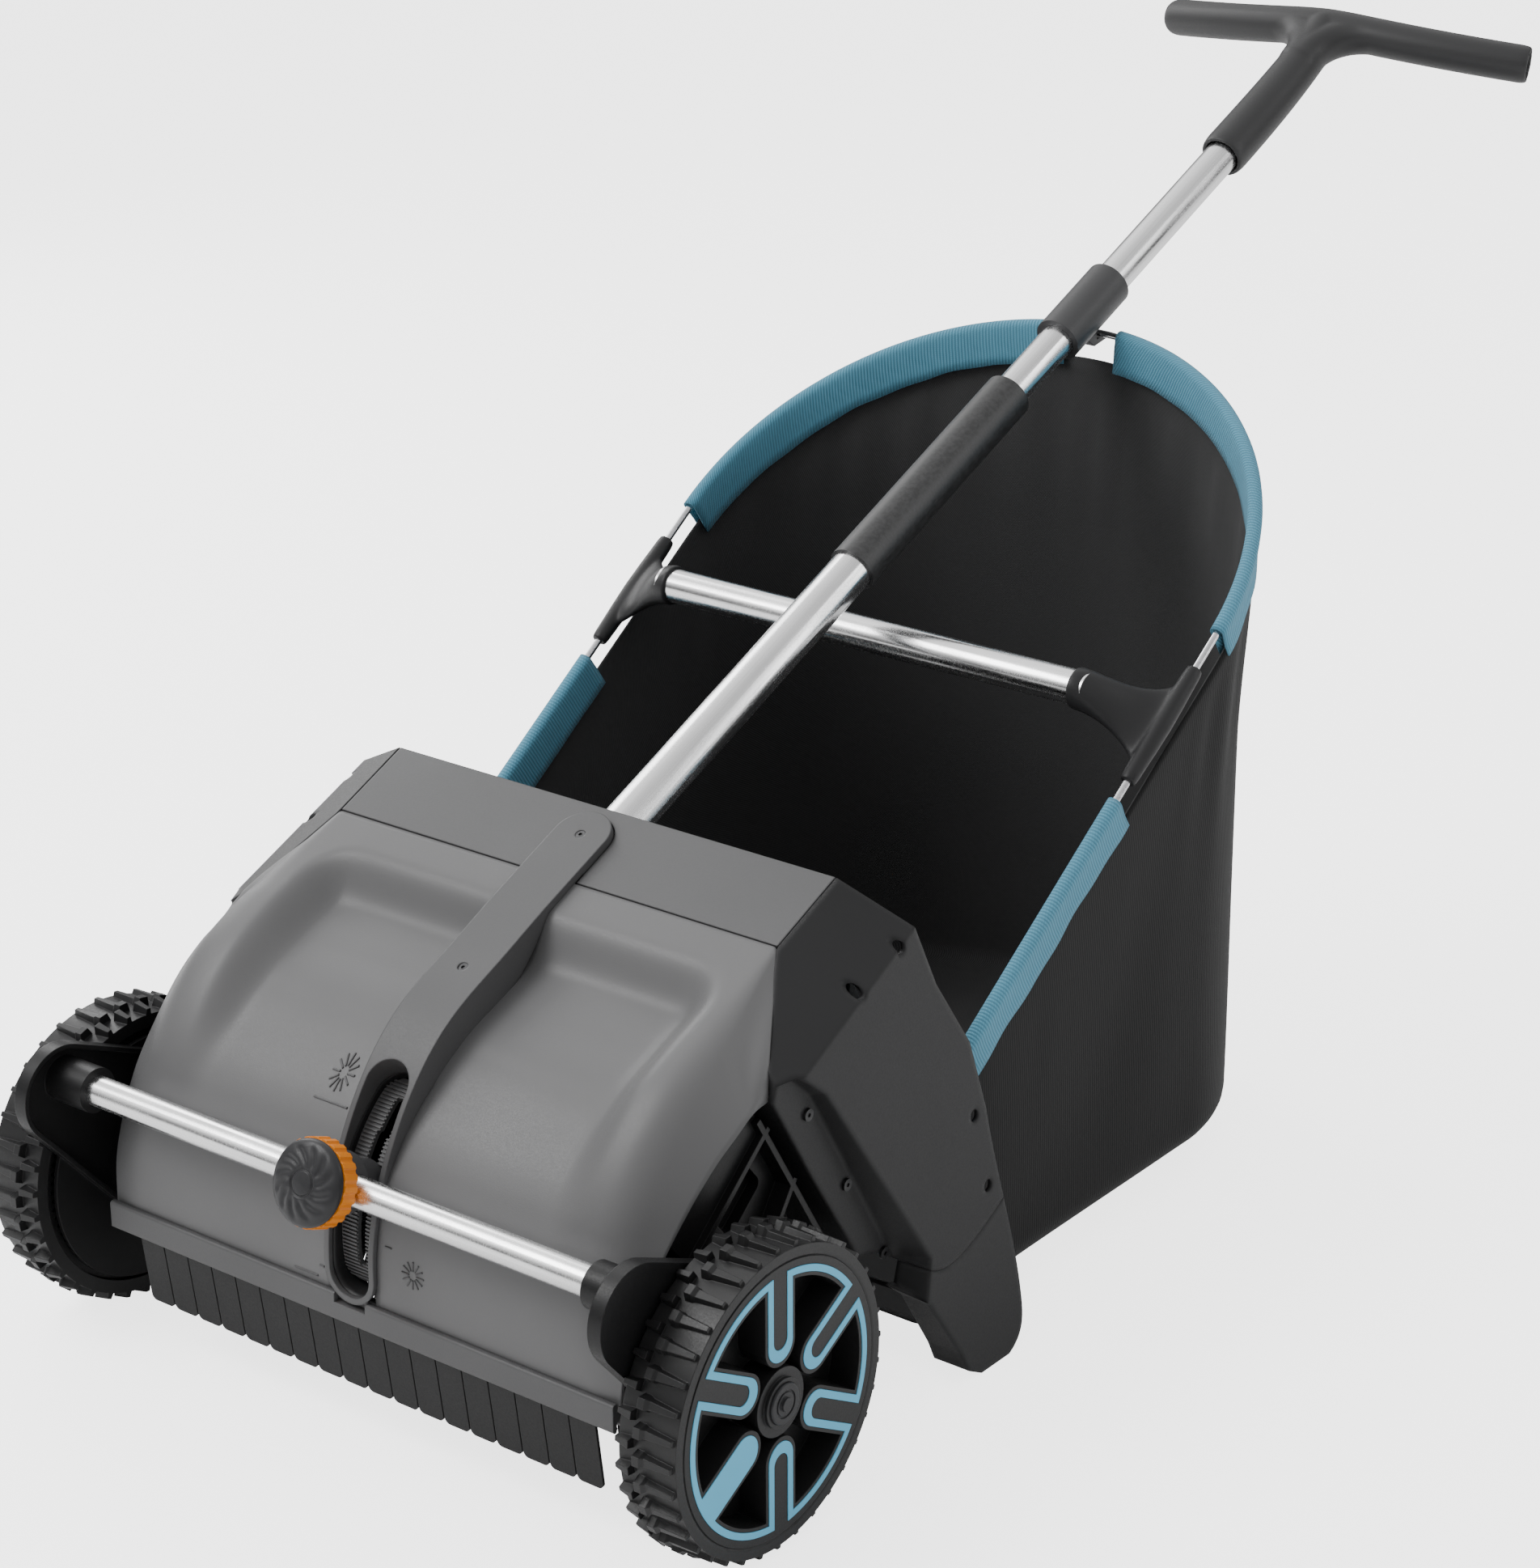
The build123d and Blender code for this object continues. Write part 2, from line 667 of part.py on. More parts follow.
def make_basket_seat():
    """Block inside the side panel with a slot, open to the rear, for one end of the rim rod."""
    seat_y = 206.0
    along = Vector(0, cos(radians(SLOPE)), sin(radians(SLOPE)))
    with BuildPart() as seat:
        with Locations(spot(229, seat_y, on_rim(seat_y))):
            Box(16, 24, 26)
        slot = Plane(origin=spot(224, seat_y - 3, on_rim(seat_y) + 1), x_dir=along, z_dir=(1, 0, 0))
        with BuildSketch(slot.offset(-10)):
            with Locations((20, 0)):
                Rectangle(40, 2 * ROD_R + 6)
        extrude(amount=15, mode=Mode.SUBTRACT)
    return seat.part


# ---------------------------------------------------------------- handle
def pole_tube(start, end, outer_r, inner_r):
    """A round tube on the handle's centre line between two distances behind the axle."""
    length = (end - start) / cos(radians(SLOPE))
    with BuildPart() as tube:
        with BuildSketch(slope_plane(0, *on_pole(start))):
            Circle(outer_r)
            Circle(inner_r, mode=Mode.SUBTRACT)
        extrude(amount=length)
    return tube.part


SLEEVE = (447.0, 629.0)
COLLAR = (690.0, 754.0)
STEM_START = 901.0
ARCH_TOP = BASKET_STRAIGHT + BASKET_HALF * cos(radians(RIM_SLOPE))


def make_pole_sleeve():
    with BuildPart() as sleeve:
        add(pole_tube(SLEEVE[0], SLEEVE[1], LOWER_POLE_R + 2.2, LOWER_POLE_R + SNUG))
        add(pole_tube(SLEEVE[1] - 28, SLEEVE[1], LOWER_POLE_R + 2.2, UPPER_POLE_R + SNUG))
    return sleeve.part


def make_hook_collar():
    """Collar on the upper pole with a hook below it that holds the basket's rim."""
    rod_y, rod_z = ARCH_TOP, on_rim(ARCH_TOP)
    with BuildPart() as collar:
        add(pole_tube(COLLAR[0], COLLAR[1], UPPER_POLE_R + 4.5, UPPER_POLE_R + SNUG))
        with BuildSketch(side_plane(-6)):
            Polygon((rod_y - 22, rod_z + 2), (rod_y - 4.5, rod_z + 8), (rod_y - 4.5, rod_z - 4),
                    (rod_y + 9, rod_z - 2), (rod_y + 10, rod_z - 5.5), (rod_y - 7, rod_z - 8.5),
                    align=None)
        extrude(amount=12)
        add(pole_tube(COLLAR[0] - 20, COLLAR[1] + 20, UPPER_POLE_R + SNUG, 0.01), mode=Mode.SUBTRACT)
    return collar.part


def make_t_grip():
    centre = spot(0, *POLE_END)
    end = spot(GRIP_HALF, POLE_END[0] + 33, POLE_END[1] - 8)
    with BuildPart() as grip:
        with BuildLine():
            path = Spline(centre, spot(70, POLE_END[0] + 8, POLE_END[1] - 1), end,
                          tangents=[(1, 0, 0), (1, 0.25, -0.08)])
        with BuildSketch(Plane(origin=centre, x_dir=(0, 1, 0), z_dir=(1, 0, 0))):
            Circle(14)
        sweep(path=path)
        mirror(about=Plane.YZ)
        add(pole_tube(STEM_START, POLE_END[0] - 4, 16, 0.01))
        add(pole_tube(STEM_START - 5, STEM_START + 60, UPPER_POLE_R + SNUG, 0.005),
            mode=Mode.SUBTRACT)
        for side in (-1, 1):
            tip = spot(side * GRIP_HALF, POLE_END[0] + 33, POLE_END[1] - 8)
            with BuildSketch(Plane(origin=tip, z_dir=(side, 0.25, -0.08))):
                Circle(10.5)
            extrude(amount=-40, mode=Mode.SUBTRACT)
    return grip.part


# ---------------------------------------------------------------- carrier: arms, bar and axles
ARM_FRONT = (-78.0, 180.0)
ARM_FRONT_R = 32.0
GEAR_COVER_R = 84.0
AXLE = (0.0, AXLE_Z)
BAR = polar(BAR_REACH, BAR_ANGLE)


def arm_outline(inset):
    with BuildSketch(side_plane(0)) as outline:
        with Locations(ARM_FRONT):
            Circle(ARM_FRONT_R - inset)
        with Locations(PIVOT):
            Circle(19 - inset)
        with Locations(AXLE):
            Circle(40 - inset)
        make_hull()
    return outline.sketch_local


def make_arm():
    floor = 3.0
    with BuildPart() as arm:
        with BuildSketch(side_plane(ARM_IN)):
            add(arm_outline(0))
        extrude(amount=ARM_OUT - ARM_IN)
        with BuildSketch(side_plane(ARM_IN)):
            add(arm_outline(WALL))
        extrude(amount=ARM_OUT - ARM_IN - floor, mode=Mode.SUBTRACT)
        with BuildSketch(side_plane(ARM_OUT - floor)):
            with Locations(AXLE):
                Circle(GEAR_COVER_R)
        extrude(amount=floor)
        with BuildSketch(side_plane(BOSS_IN)):
            with Locations(BAR):
                Circle(15)
            with Locations(PIVOT):
                Circle(18)
        extrude(amount=ARM_OUT - BOSS_IN - 1)
        with BuildSketch(side_plane(ARM_IN)):
            with Locations(AXLE):
                Circle(15)
        extrude(amount=ARM_OUT - ARM_IN)
        with BuildSketch(side_plane(190)):
            with Locations(PIVOT):
                Circle(TRUNNION_R)
        extrude(amount=20)
        with BuildSketch(side_plane(BOSS_IN - 1)):
            with Locations(BAR):
                Circle(BAR_R + SNUG)
        extrude(amount=30, mode=Mode.SUBTRACT)
        with BuildSketch(side_plane(180)):
            with Locations(PIVOT):
                Circle(8)
        extrude(amount=80, mode=Mode.SUBTRACT)
        with BuildSketch(side_plane(ARM_IN - 1)):
            with Locations(AXLE):
                Circle(SHAFT_R + SNUG)
        extrude(amount=20, mode=Mode.SUBTRACT)
    return arm.part


def make_height_bar():
    half = BOSS_IN + 26
    with BuildPart() as bar:
        with BuildSketch(side_plane(-half)):
            with Locations(BAR):
                Circle(BAR_R)
                Circle(BAR_R - TUBE_WALL, mode=Mode.SUBTRACT)
        extrude(amount=2 * half)
        with BuildSketch(radial_plane(BAR_REACH - 20, BAR_ANGLE)):
            Circle(3.6)
        extrude(amount=40, mode=Mode.SUBTRACT)
    return bar.part


def make_clamp_boss():
    """Body that holds the middle of the bar, with a neck that runs in the channel."""
    with BuildPart() as boss:
        with BuildSketch(radial_plane(129.5, BAR_ANGLE)):
            Circle(20)
        extrude(amount=18)
        with BuildSketch(radial_plane(109, BAR_ANGLE)):
            Circle(15)
        extrude(amount=21)
        with BuildSketch(side_plane(-30)):
            with Locations(BAR):
                Circle(BAR_R + SNUG)
        extrude(amount=60, mode=Mode.SUBTRACT)
        with BuildSketch(radial_plane(90, BAR_ANGLE)):
            Circle(3.2)
        extrude(amount=80, mode=Mode.SUBTRACT)
    return boss.part


def make_clamp_nut():
    with BuildPart() as nut:
        with BuildSketch(radial_plane(98.8, BAR_ANGLE)):
            RectangleRounded(18, 16, 2)
            Circle(3.2, mode=Mode.SUBTRACT)
        extrude(amount=3.4)
    return nut.part


def make_axle():
    with BuildPart() as axle:
        with BuildSketch(side_plane(ARM_IN)):
            with Locations(AXLE):
                Circle(SHAFT_R)
        extrude(amount=284 - ARM_IN)
        with BuildSketch(side_plane(284)):
            with Locations(AXLE):
                Circle(9)
        extrude(amount=1.6)
    return axle.part


def make_brush_bushes():
    with BuildPart() as bushes:
        with BuildSketch(side_plane(190)):
            with Locations(PIVOT):
                Circle(8 - RUNNING)
                Circle(SHAFT_R + RUNNING, mode=Mode.SUBTRACT)
        extrude(amount=ARM_OUT - 190)
        mirror(about=Plane.YZ)
    return bushes.part


# ---------------------------------------------------------------- height knob
KNOB_BASE = 148.2
KNOB_R = 28.0


def make_knob_ring():
    """Grip ring with finger scallops."""
    scallops = 24
    with BuildPart() as ring:
        with BuildSketch(radial_plane(KNOB_BASE, BAR_ANGLE)):
            Circle(KNOB_R)
            Circle(18, mode=Mode.SUBTRACT)
            with PolarLocations(KNOB_R + 1.2, scallops):
                Circle(2.4, mode=Mode.SUBTRACT)
        extrude(amount=11)
    return ring.part


def make_knob_cap():
    with BuildPart() as cap:
        with BuildSketch(radial_plane(KNOB_BASE, BAR_ANGLE)):
            Circle(18 - SNUG)
        extrude(amount=11.2)
        with BuildSketch(radial_plane(KNOB_BASE + 11.2, BAR_ANGLE)):
            Circle(KNOB_R - 1)
        extrude(amount=4)
        fillet(cap.edges().filter_by(GeomType.CIRCLE).sort_by(Axis.Y)[0], 2.5)
        with BuildSketch(radial_plane(KNOB_BASE + 15.2, BAR_ANGLE)):
            Circle(12)
        extrude(amount=-1.2, mode=Mode.SUBTRACT)
        with BuildSketch(radial_plane(KNOB_BASE, BAR_ANGLE)):
            Circle(3.2)
        extrude(amount=9, mode=Mode.SUBTRACT)
    return cap.part


def make_clamp_stud():
    with BuildPart() as stud:
        with BuildSketch(radial_plane(97.8, BAR_ANGLE)):
            Circle(3.15)
        extrude(amount=KNOB_BASE + 8.8 - 97.8)
    return stud.part


# ---------------------------------------------------------------- wheels
WELL_R = 88.0
SPOKE_COUNT = 6
INLAY_OUT = 84.1
INLAY_BAND = 4.6
LOOP_HALF = 11.5
LOOP_TIP = 27.0
INLAY_DEPTH = 1.4


def wheel_plane(x):
    """A wheel plane whose local origin is the axle."""
    return Plane(origin=spot(x, *AXLE), x_dir=(0, 1, 0), z_dir=(1, 0, 0))


def finger(half_width, tip, reach, turn):
    """A round-tipped finger that points at the hub."""
    inner = tip + half_width
    with Locations(Location((0, 0, 0), (0, 0, turn))):
        with Locations((inner, 0)):
            Circle(half_width)
        with Locations(((inner + reach) / 2, 0)):
            Rectangle(reach - inner, 2 * half_width)


def spoke_angles():
    return [30 + 60 * count for count in range(SPOKE_COUNT)]


def inlay_sketch(x, gap):
    """A ring that loops in around each spoke; one loop is filled."""
    filled = 210
    with BuildSketch(wheel_plane(x)) as outline:
        Circle(INLAY_OUT - gap)
        Circle(INLAY_OUT - INLAY_BAND + gap, mode=Mode.SUBTRACT)
        for turn in spoke_angles():
            with BuildSketch(mode=Mode.PRIVATE) as loop:
                finger(LOOP_HALF - gap, LOOP_TIP + gap, INLAY_OUT - 2, turn)
            add(loop.sketch)
        for turn in spoke_angles():
            if turn != filled:
                with BuildSketch(mode=Mode.PRIVATE) as core:
                    finger(LOOP_HALF - INLAY_BAND - 0.4 + gap, LOOP_TIP + 8 - gap, INLAY_OUT + 6, turn)
                add(core.sketch, mode=Mode.SUBTRACT)
    return outline.sketch


def make_lug(sections):
    """A tread lug on top of the wheel, lofted through sections (X, width at its foot, height)."""
    with BuildPart() as lug:
        for x, width, height in sections:
            with BuildSketch(Plane(origin=spot(x, 0, AXLE_Z + WHEEL_R), x_dir=(0, 1, 0), z_dir=(1, 0, 0))):
                Polygon((-width / 2, -1.5), (width / 2, -1.5), (width * 0.3, height),
                        (-width * 0.3, height), align=None)
        loft(ruled=True)
    return lug.part


def make_wheel():
    lugs = 36
    axle = Axis(spot(0, *AXLE), (1, 0, 0))
    long_lug = make_lug([(WHEEL_IN + 14, 11, LUG_HEIGHT), (WHEEL_IN + 19, 11, LUG_HEIGHT),
                         (WHEEL_IN + 21, 9, LUG_HEIGHT - 2), (WHEEL_OUT - 1.5, 5, LUG_HEIGHT - 2.5)])
    short_lug = make_lug([(WHEEL_IN, 5, LUG_HEIGHT - 2), (WHEEL_IN + 11, 8, LUG_HEIGHT)])
    window_floor = 264.0
    with BuildPart() as wheel:
        with BuildSketch(wheel_plane(WHEEL_IN)):
            Circle(WHEEL_R)
            Circle(WELL_R, mode=Mode.SUBTRACT)
        extrude(amount=WHEEL_OUT - WHEEL_IN)
        fillet(wheel.edges().filter_by(GeomType.CIRCLE).sort_by(Axis.X)[-1], 3.5)
        with BuildSketch(wheel_plane(window_floor - 4)):
            Circle(WELL_R + 1)
        extrude(amount=4)
        with BuildSketch(wheel_plane(window_floor)):
            Circle(WELL_R + 1)
            Circle(INLAY_OUT - INLAY_BAND - 2.4, mode=Mode.SUBTRACT)
            for turn in spoke_angles():
                with BuildSketch(mode=Mode.PRIVATE) as spoke:
                    finger(LOOP_HALF + 2.4, LOOP_TIP - 3, WELL_R, turn)
                add(spoke.sketch)
            Circle(HUB_R + 6)
        extrude(amount=WHEEL_OUT - window_floor)
        with BuildSketch(wheel_plane(WHEEL_IN)):
            Circle(HUB_R)
        extrude(amount=WHEEL_OUT + 2.5 - WHEEL_IN)
        for count in range(lugs):
            add(long_lug.rotate(axle, count * 360 / lugs))
            add(short_lug.rotate(axle, (count + 0.5) * 360 / lugs))
        add(extrude(inlay_sketch(WHEEL_OUT, 0), amount=-INLAY_DEPTH, mode=Mode.PRIVATE),
            mode=Mode.SUBTRACT)
        with BuildSketch(wheel_plane(WHEEL_IN - 1)):
            Circle(SHAFT_R + RUNNING)
        extrude(amount=60, mode=Mode.SUBTRACT)
        with BuildSketch(wheel_plane(283.5)):
            Circle(HUB_R - 2.8)
        extrude(amount=10, mode=Mode.SUBTRACT)
    return wheel.part


def make_wheel_inlay():
    with BuildPart() as inlay:
        add(extrude(inlay_sketch(WHEEL_OUT - INLAY_DEPTH + 0.05, SNUG), amount=INLAY_DEPTH + 0.35,
                    mode=Mode.PRIVATE))
    return inlay.part


def make_hub_cap():
    with BuildPart() as cap:
        with BuildSketch(wheel_plane(286.2)):
            Circle(HUB_R - 2.8 - SNUG)
        extrude(amount=2.6)
        fillet(cap.edges().filter_by(GeomType.CIRCLE).sort_by(Axis.X)[-1], 1)
        with BuildSketch(wheel_plane(288.8)):
            Circle(9)
            Circle(7.5, mode=Mode.SUBTRACT)
        extrude(amount=-0.9, mode=Mode.SUBTRACT)
        with BuildSketch(wheel_plane(288.8)):
            Circle(4.5)
        extrude(amount=1.6)
    return cap.part


# ---------------------------------------------------------------- gears
def involute_half_angle(radius, base_r, pitch_half):
    """Half the tooth's angle at a radius, from the involute of the base circle."""
    def inv(r):
        roll = acos(min(1.0, base_r / r))
        return tan(roll) - roll
    pitch_r = base_r / cos(PRESSURE_ANGLE)
    return pitch_half + inv(pitch_r) - inv(radius)


def gear_tooth(teeth, tip_r, root_r, thin):
    """Outline points of one spur gear tooth that points along local X."""
    pitch_r = GEAR_MODULE * teeth / 2
    base_r = pitch_r * cos(PRESSURE_ANGLE)
    pitch_half = (pi * GEAR_MODULE / 2 - thin) / 2 / pitch_r
    start_r = max(base_r, root_r)
    radii = [start_r + (tip_r - start_r) * step / 4 for step in range(5)]
    flank = [(r, involute_half_angle(r, base_r, pitch_half)) for r in radii]
    flank = [(root_r - 0.6, flank[0][1])] + flank
    upper = [(r * cos(a), r * sin(a)) for r, a in flank]
    lower = [(r * cos(a), -r * sin(a)) for r, a in reversed(flank)]
    return upper + lower


def make_pinion():
    tip = GEAR_MODULE * (PINION_TEETH / 2 + 1)
    root = GEAR_MODULE * (PINION_TEETH / 2 - 1.25)
    tooth = gear_tooth(PINION_TEETH, tip, root, BACKLASH)
    centre = Plane(origin=spot(246, *PIVOT), x_dir=(0, 1, 0), z_dir=(1, 0, 0))
    with BuildPart() as pinion:
        with BuildSketch(centre):
            Circle(root)
            with PolarLocations(0, PINION_TEETH, start_angle=CARRIER_ANGLE):
                Polygon(*tooth, align=None)
            Circle(SHAFT_R + RUNNING, mode=Mode.SUBTRACT)
        extrude(amount=10)
    return pinion.part


def make_ring_gear():
    """Internal gear: its tooth spaces have the shape of an outside gear's teeth."""
    root = GEAR_MODULE * (RING_TEETH / 2 + 1.25)
    tip = GEAR_MODULE * (RING_TEETH / 2 - 0.9)
    space = gear_tooth(RING_TEETH, root, tip - 2, -BACKLASH)
    with BuildPart() as ring:
        with BuildSketch(wheel_plane(246.5)):
            Circle(WELL_R - SNUG)
            Circle(tip, mode=Mode.SUBTRACT)
            with PolarLocations(0, RING_TEETH, start_angle=CARRIER_ANGLE):
                Polygon(*space, align=None, mode=Mode.SUBTRACT)
        extrude(amount=10)
    return ring.part


# ---------------------------------------------------------------- brush
BRUSH_CORE_R = 24.0
BRUSH_ROWS = 6


def make_brush_shaft():
    with BuildPart() as shaft:
        with BuildSketch(side_plane(-257)):
            with Locations(PIVOT):
                Circle(SHAFT_R)
        extrude(amount=514)
    return shaft.part


def make_brush_core():
    with BuildPart() as core:
        with BuildSketch(side_plane(-BRUSH_HALF)):
            with Locations(PIVOT):
                Circle(BRUSH_CORE_R)
                Circle(SHAFT_R + RUNNING, mode=Mode.SUBTRACT)
        extrude(amount=2 * BRUSH_HALF)
    return core.part


def make_brush_bristles():
    centre = Plane(origin=spot(-BRUSH_HALF + 2, *PIVOT), x_dir=(0, 1, 0), z_dir=(1, 0, 0))
    length = BRUSH_R - BRUSH_CORE_R - SNUG
    with BuildPart() as rows:
        with BuildSketch(centre):
            with PolarLocations(BRUSH_CORE_R + SNUG + length / 2, BRUSH_ROWS):
                Rectangle(length, 7)
        extrude(amount=2 * BRUSH_HALF - 4)
    return rows.part


# ---------------------------------------------------------------- basket
def basket_plan(inset):
    """Plan outline: straight sides and a round back, seen from above."""
    half = BASKET_HALF - inset
    depth = ARCH_TOP - BASKET_STRAIGHT - inset
    front = BASKET_FRONT - (10 if inset else 0)
    with BuildSketch(Plane.XY) as plan:
        with Locations((0, AXLE_Y + BASKET_STRAIGHT)):
            Ellipse(half, depth)
            with Locations((0, -(BASKET_STRAIGHT - front) / 2)):
                Rectangle(2 * half, BASKET_STRAIGHT - front)
            with Locations((0, -300 - (BASKET_STRAIGHT - front))):
                Rectangle(1000, 600, mode=Mode.SUBTRACT)
    return plan.sketch


def rim_side(drop, far_height):
    """All that lies above (or below) a plane parallel to the basket's rim and under it by a drop."""
    low, high = 100, 900
    with BuildPart() as region:
        with BuildSketch(side_plane(-300)):
            Polygon((low, on_rim(low) - drop), (high, on_rim(high) - drop), (high, far_height),
                    (low, far_height), align=None)
        extrude(amount=600)
    return region.part


def basket_volume(inset):
    """The basket's outer volume, or with an inset the space inside it, rounded at the floor."""
    floor = BASKET_FLOOR + inset
    with BuildPart() as volume:
        with BuildSketch(Plane.XY.offset(floor)):
            add(basket_plan(inset))
        extrude(amount=540)
        bottom = volume.edges().filter_by(lambda edge: abs(edge.center().Z - floor) < 0.1)
        fillet(bottom.sort_by(Axis.Y)[-1], FLOOR_CORNER - inset)
    return volume.part


def make_basket_fabric():
    with BuildPart() as bag:
        add(basket_volume(0))
        add(basket_volume(FABRIC), mode=Mode.SUBTRACT)
        add(rim_side(ROD_R + 1, 1400), mode=Mode.SUBTRACT)
        with Locations(spot(0, ARCH_TOP, on_rim(ARCH_TOP))):
            Box(46, 40, 36, mode=Mode.SUBTRACT)
        with BuildSketch(side_plane(-300)):
            low, high = 438, 534
            Polygon((low, on_rim(low) - 14), (high, on_rim(high) - 14), (high, on_rim(high) + 9),
                    (low, on_rim(low) + 9), align=None)
        extrude(amount=600, mode=Mode.SUBTRACT)
    return bag.part


def rim_point(x, behind):
    return spot(x, behind, on_rim(behind))


def make_rim_rod():
    """One steel rod: up one side of the basket, round the back and down the other side."""
    start = 207.0
    arch = rim_point(BASKET_HALF, BASKET_STRAIGHT)
    top = rim_point(0, ARCH_TOP)
    direction = Vector(0, cos(radians(RIM_SLOPE)), sin(radians(RIM_SLOPE)))
    with BuildPart() as rod:
        with BuildLine():
            Line(rim_point(BASKET_HALF, start), arch)
            ThreePointArc(arch, top, rim_point(-BASKET_HALF, BASKET_STRAIGHT))
            Line(rim_point(-BASKET_HALF, BASKET_STRAIGHT), rim_point(-BASKET_HALF, start))
        with BuildSketch(Plane(origin=rim_point(BASKET_HALF, start), z_dir=direction)):
            Circle(ROD_R)
        sweep()
    return rod.part


TUBE_AT = (466.7, 385.1)
TUBE_R = 12.0
TUBE_HALF = 181.0


def make_cross_tube():
    with BuildPart() as tube:
        with BuildSketch(side_plane(-TUBE_HALF)):
            with Locations(TUBE_AT):
                Circle(TUBE_R)
                Circle(TUBE_R - TUBE_WALL, mode=Mode.SUBTRACT)
        extrude(amount=2 * TUBE_HALF)
    return tube.part


def make_t_connector():
    """Moulded joint: a sleeve on the rim rod and a branch that takes the end of the cross tube."""
    low, high = 446.5, 525.0
    middle = 480.0
    direction = Vector(0, cos(radians(RIM_SLOPE)), sin(radians(RIM_SLOPE)))
    with BuildPart() as joint:
        with BuildSketch(Plane(origin=rim_point(BASKET_HALF, low), z_dir=direction)):
            Circle(7)
        extrude(amount=(high - low) / cos(radians(RIM_SLOPE)))
        with BuildSketch(side_plane(172)):
            with Locations(TUBE_AT):
                Circle(TUBE_R + 2.5)
        extrude(amount=18)
        with BuildSketch(side_plane(190)):
            with Locations(TUBE_AT):
                Circle(TUBE_R + 2.5)
        with BuildSketch(side_plane(224)):
            with Locations(Location((middle, on_rim(middle) + 3, 0), (0, 0, RIM_SLOPE))):
                Ellipse(26, 6)
        loft()
        with BuildSketch(side_plane(171)):
            with Locations(TUBE_AT):
                Circle(TUBE_R + SNUG)
        extrude(amount=TUBE_HALF + SNUG - 171, mode=Mode.SUBTRACT)
        with BuildSketch(Plane(origin=rim_point(BASKET_HALF, low - 20), z_dir=direction)):
            Circle(ROD_R + SNUG)
        extrude(amount=160, mode=Mode.SUBTRACT)
    return joint.part


BAND_HEIGHT = 22.0
BAND_T = 1.6


def make_band(start, end, gap):
    """Webbing along the outside of the basket's top edge between two distances behind the axle."""
    with BuildPart() as band:
        with BuildSketch(Plane.XY):
            add(basket_plan(-BAND_T - 0.2))
            add(basket_plan(-0.2), mode=Mode.SUBTRACT)
            with Locations((gap - 400, AXLE_Y + 400)):
                Rectangle(800, 1600, mode=Mode.SUBTRACT)
            with Locations((200, AXLE_Y + start - 500)):
                Rectangle(900, 1000, mode=Mode.SUBTRACT)
            with Locations((200, AXLE_Y + end + 500)):
                Rectangle(900, 1000, mode=Mode.SUBTRACT)
        extrude(amount=700)
        add(rim_side(ROD_R + 1, 1400), mode=Mode.SUBTRACT)
        add(rim_side(BAND_HEIGHT, -100), mode=Mode.SUBTRACT)
    return band.part


# ---------------------------------------------------------------- write every piece
save(make_front_shell(), "front_shell")
save(make_top_cover(), "top_cover")
save(make_spine_cover(), "spine_cover")
save(make_spine_screws(), "spine_screws")
save(make_slot_rack(), "slot_rack")
save(make_front_lip(), "front_lip")
save(make_front_flaps(), "front_flaps")
save_pair(make_side_panel(), "side_panel")
save_pair(make_foot(), "foot")
save(make_panel_screws(), "panel_screws")
save(make_flange_screws(), "flange_screws")
save_pair(make_side_frame(), "side_frame")
save(make_rear_ramp(), "rear_ramp")
save(make_chassis_beam(), "chassis_beam")
save(make_pole_socket(), "pole_socket")
save_pair(make_basket_seat(), "basket_seat")

save(pole_tube(120, 598, LOWER_POLE_R, LOWER_POLE_R - TUBE_WALL), "lower_pole")
save(pole_tube(520, STEM_START + 58, UPPER_POLE_R, UPPER_POLE_R - TUBE_WALL), "upper_pole")
save(make_pole_sleeve(), "pole_sleeve")
save(make_hook_collar(), "hook_collar")
save(make_t_grip(), "t_grip")

save_pair(make_arm(), "arm")
save(make_height_bar(), "height_bar")
save(make_clamp_boss(), "clamp_boss")
save(make_clamp_nut(), "clamp_nut")
save_pair(make_axle(), "axle")
save(make_brush_bushes(), "brush_bushes")
save(make_knob_ring(), "knob_ring")
save(make_knob_cap(), "knob_cap")
save(make_clamp_stud(), "clamp_stud")

save_pair(make_wheel(), "wheel")
save_pair(make_wheel_inlay(), "wheel_inlay")
save_pair(make_ring_gear(), "ring_gear")
save_pair(make_hub_cap(), "hub_cap")
save_pair(make_pinion(), "pinion")
save(make_brush_shaft(), "brush_shaft")
save(make_brush_core(), "brush_core")
save(make_brush_bristles(), "brush_bristles")

save(make_basket_fabric(), "basket_fabric")
save(make_rim_rod(), "rim_rod")
save(make_cross_tube(), "cross_tube")
save_pair(make_t_connector(), "t_connector")
save_pair(make_band(BASKET_FRONT, RIM_START[0], 100), "lower_band")
save_pair(make_band(BASKET_STRAIGHT, 900, 24), "upper_band")
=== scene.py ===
"""The looks of a push lawn sweeper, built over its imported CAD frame.

Everything is in metres in the CAD's own frame: +X to the right of the sweeper, -Y to the front,
+Z up, with the origin on the ground under the middle of the whole length.
"""

import json
import math
import random

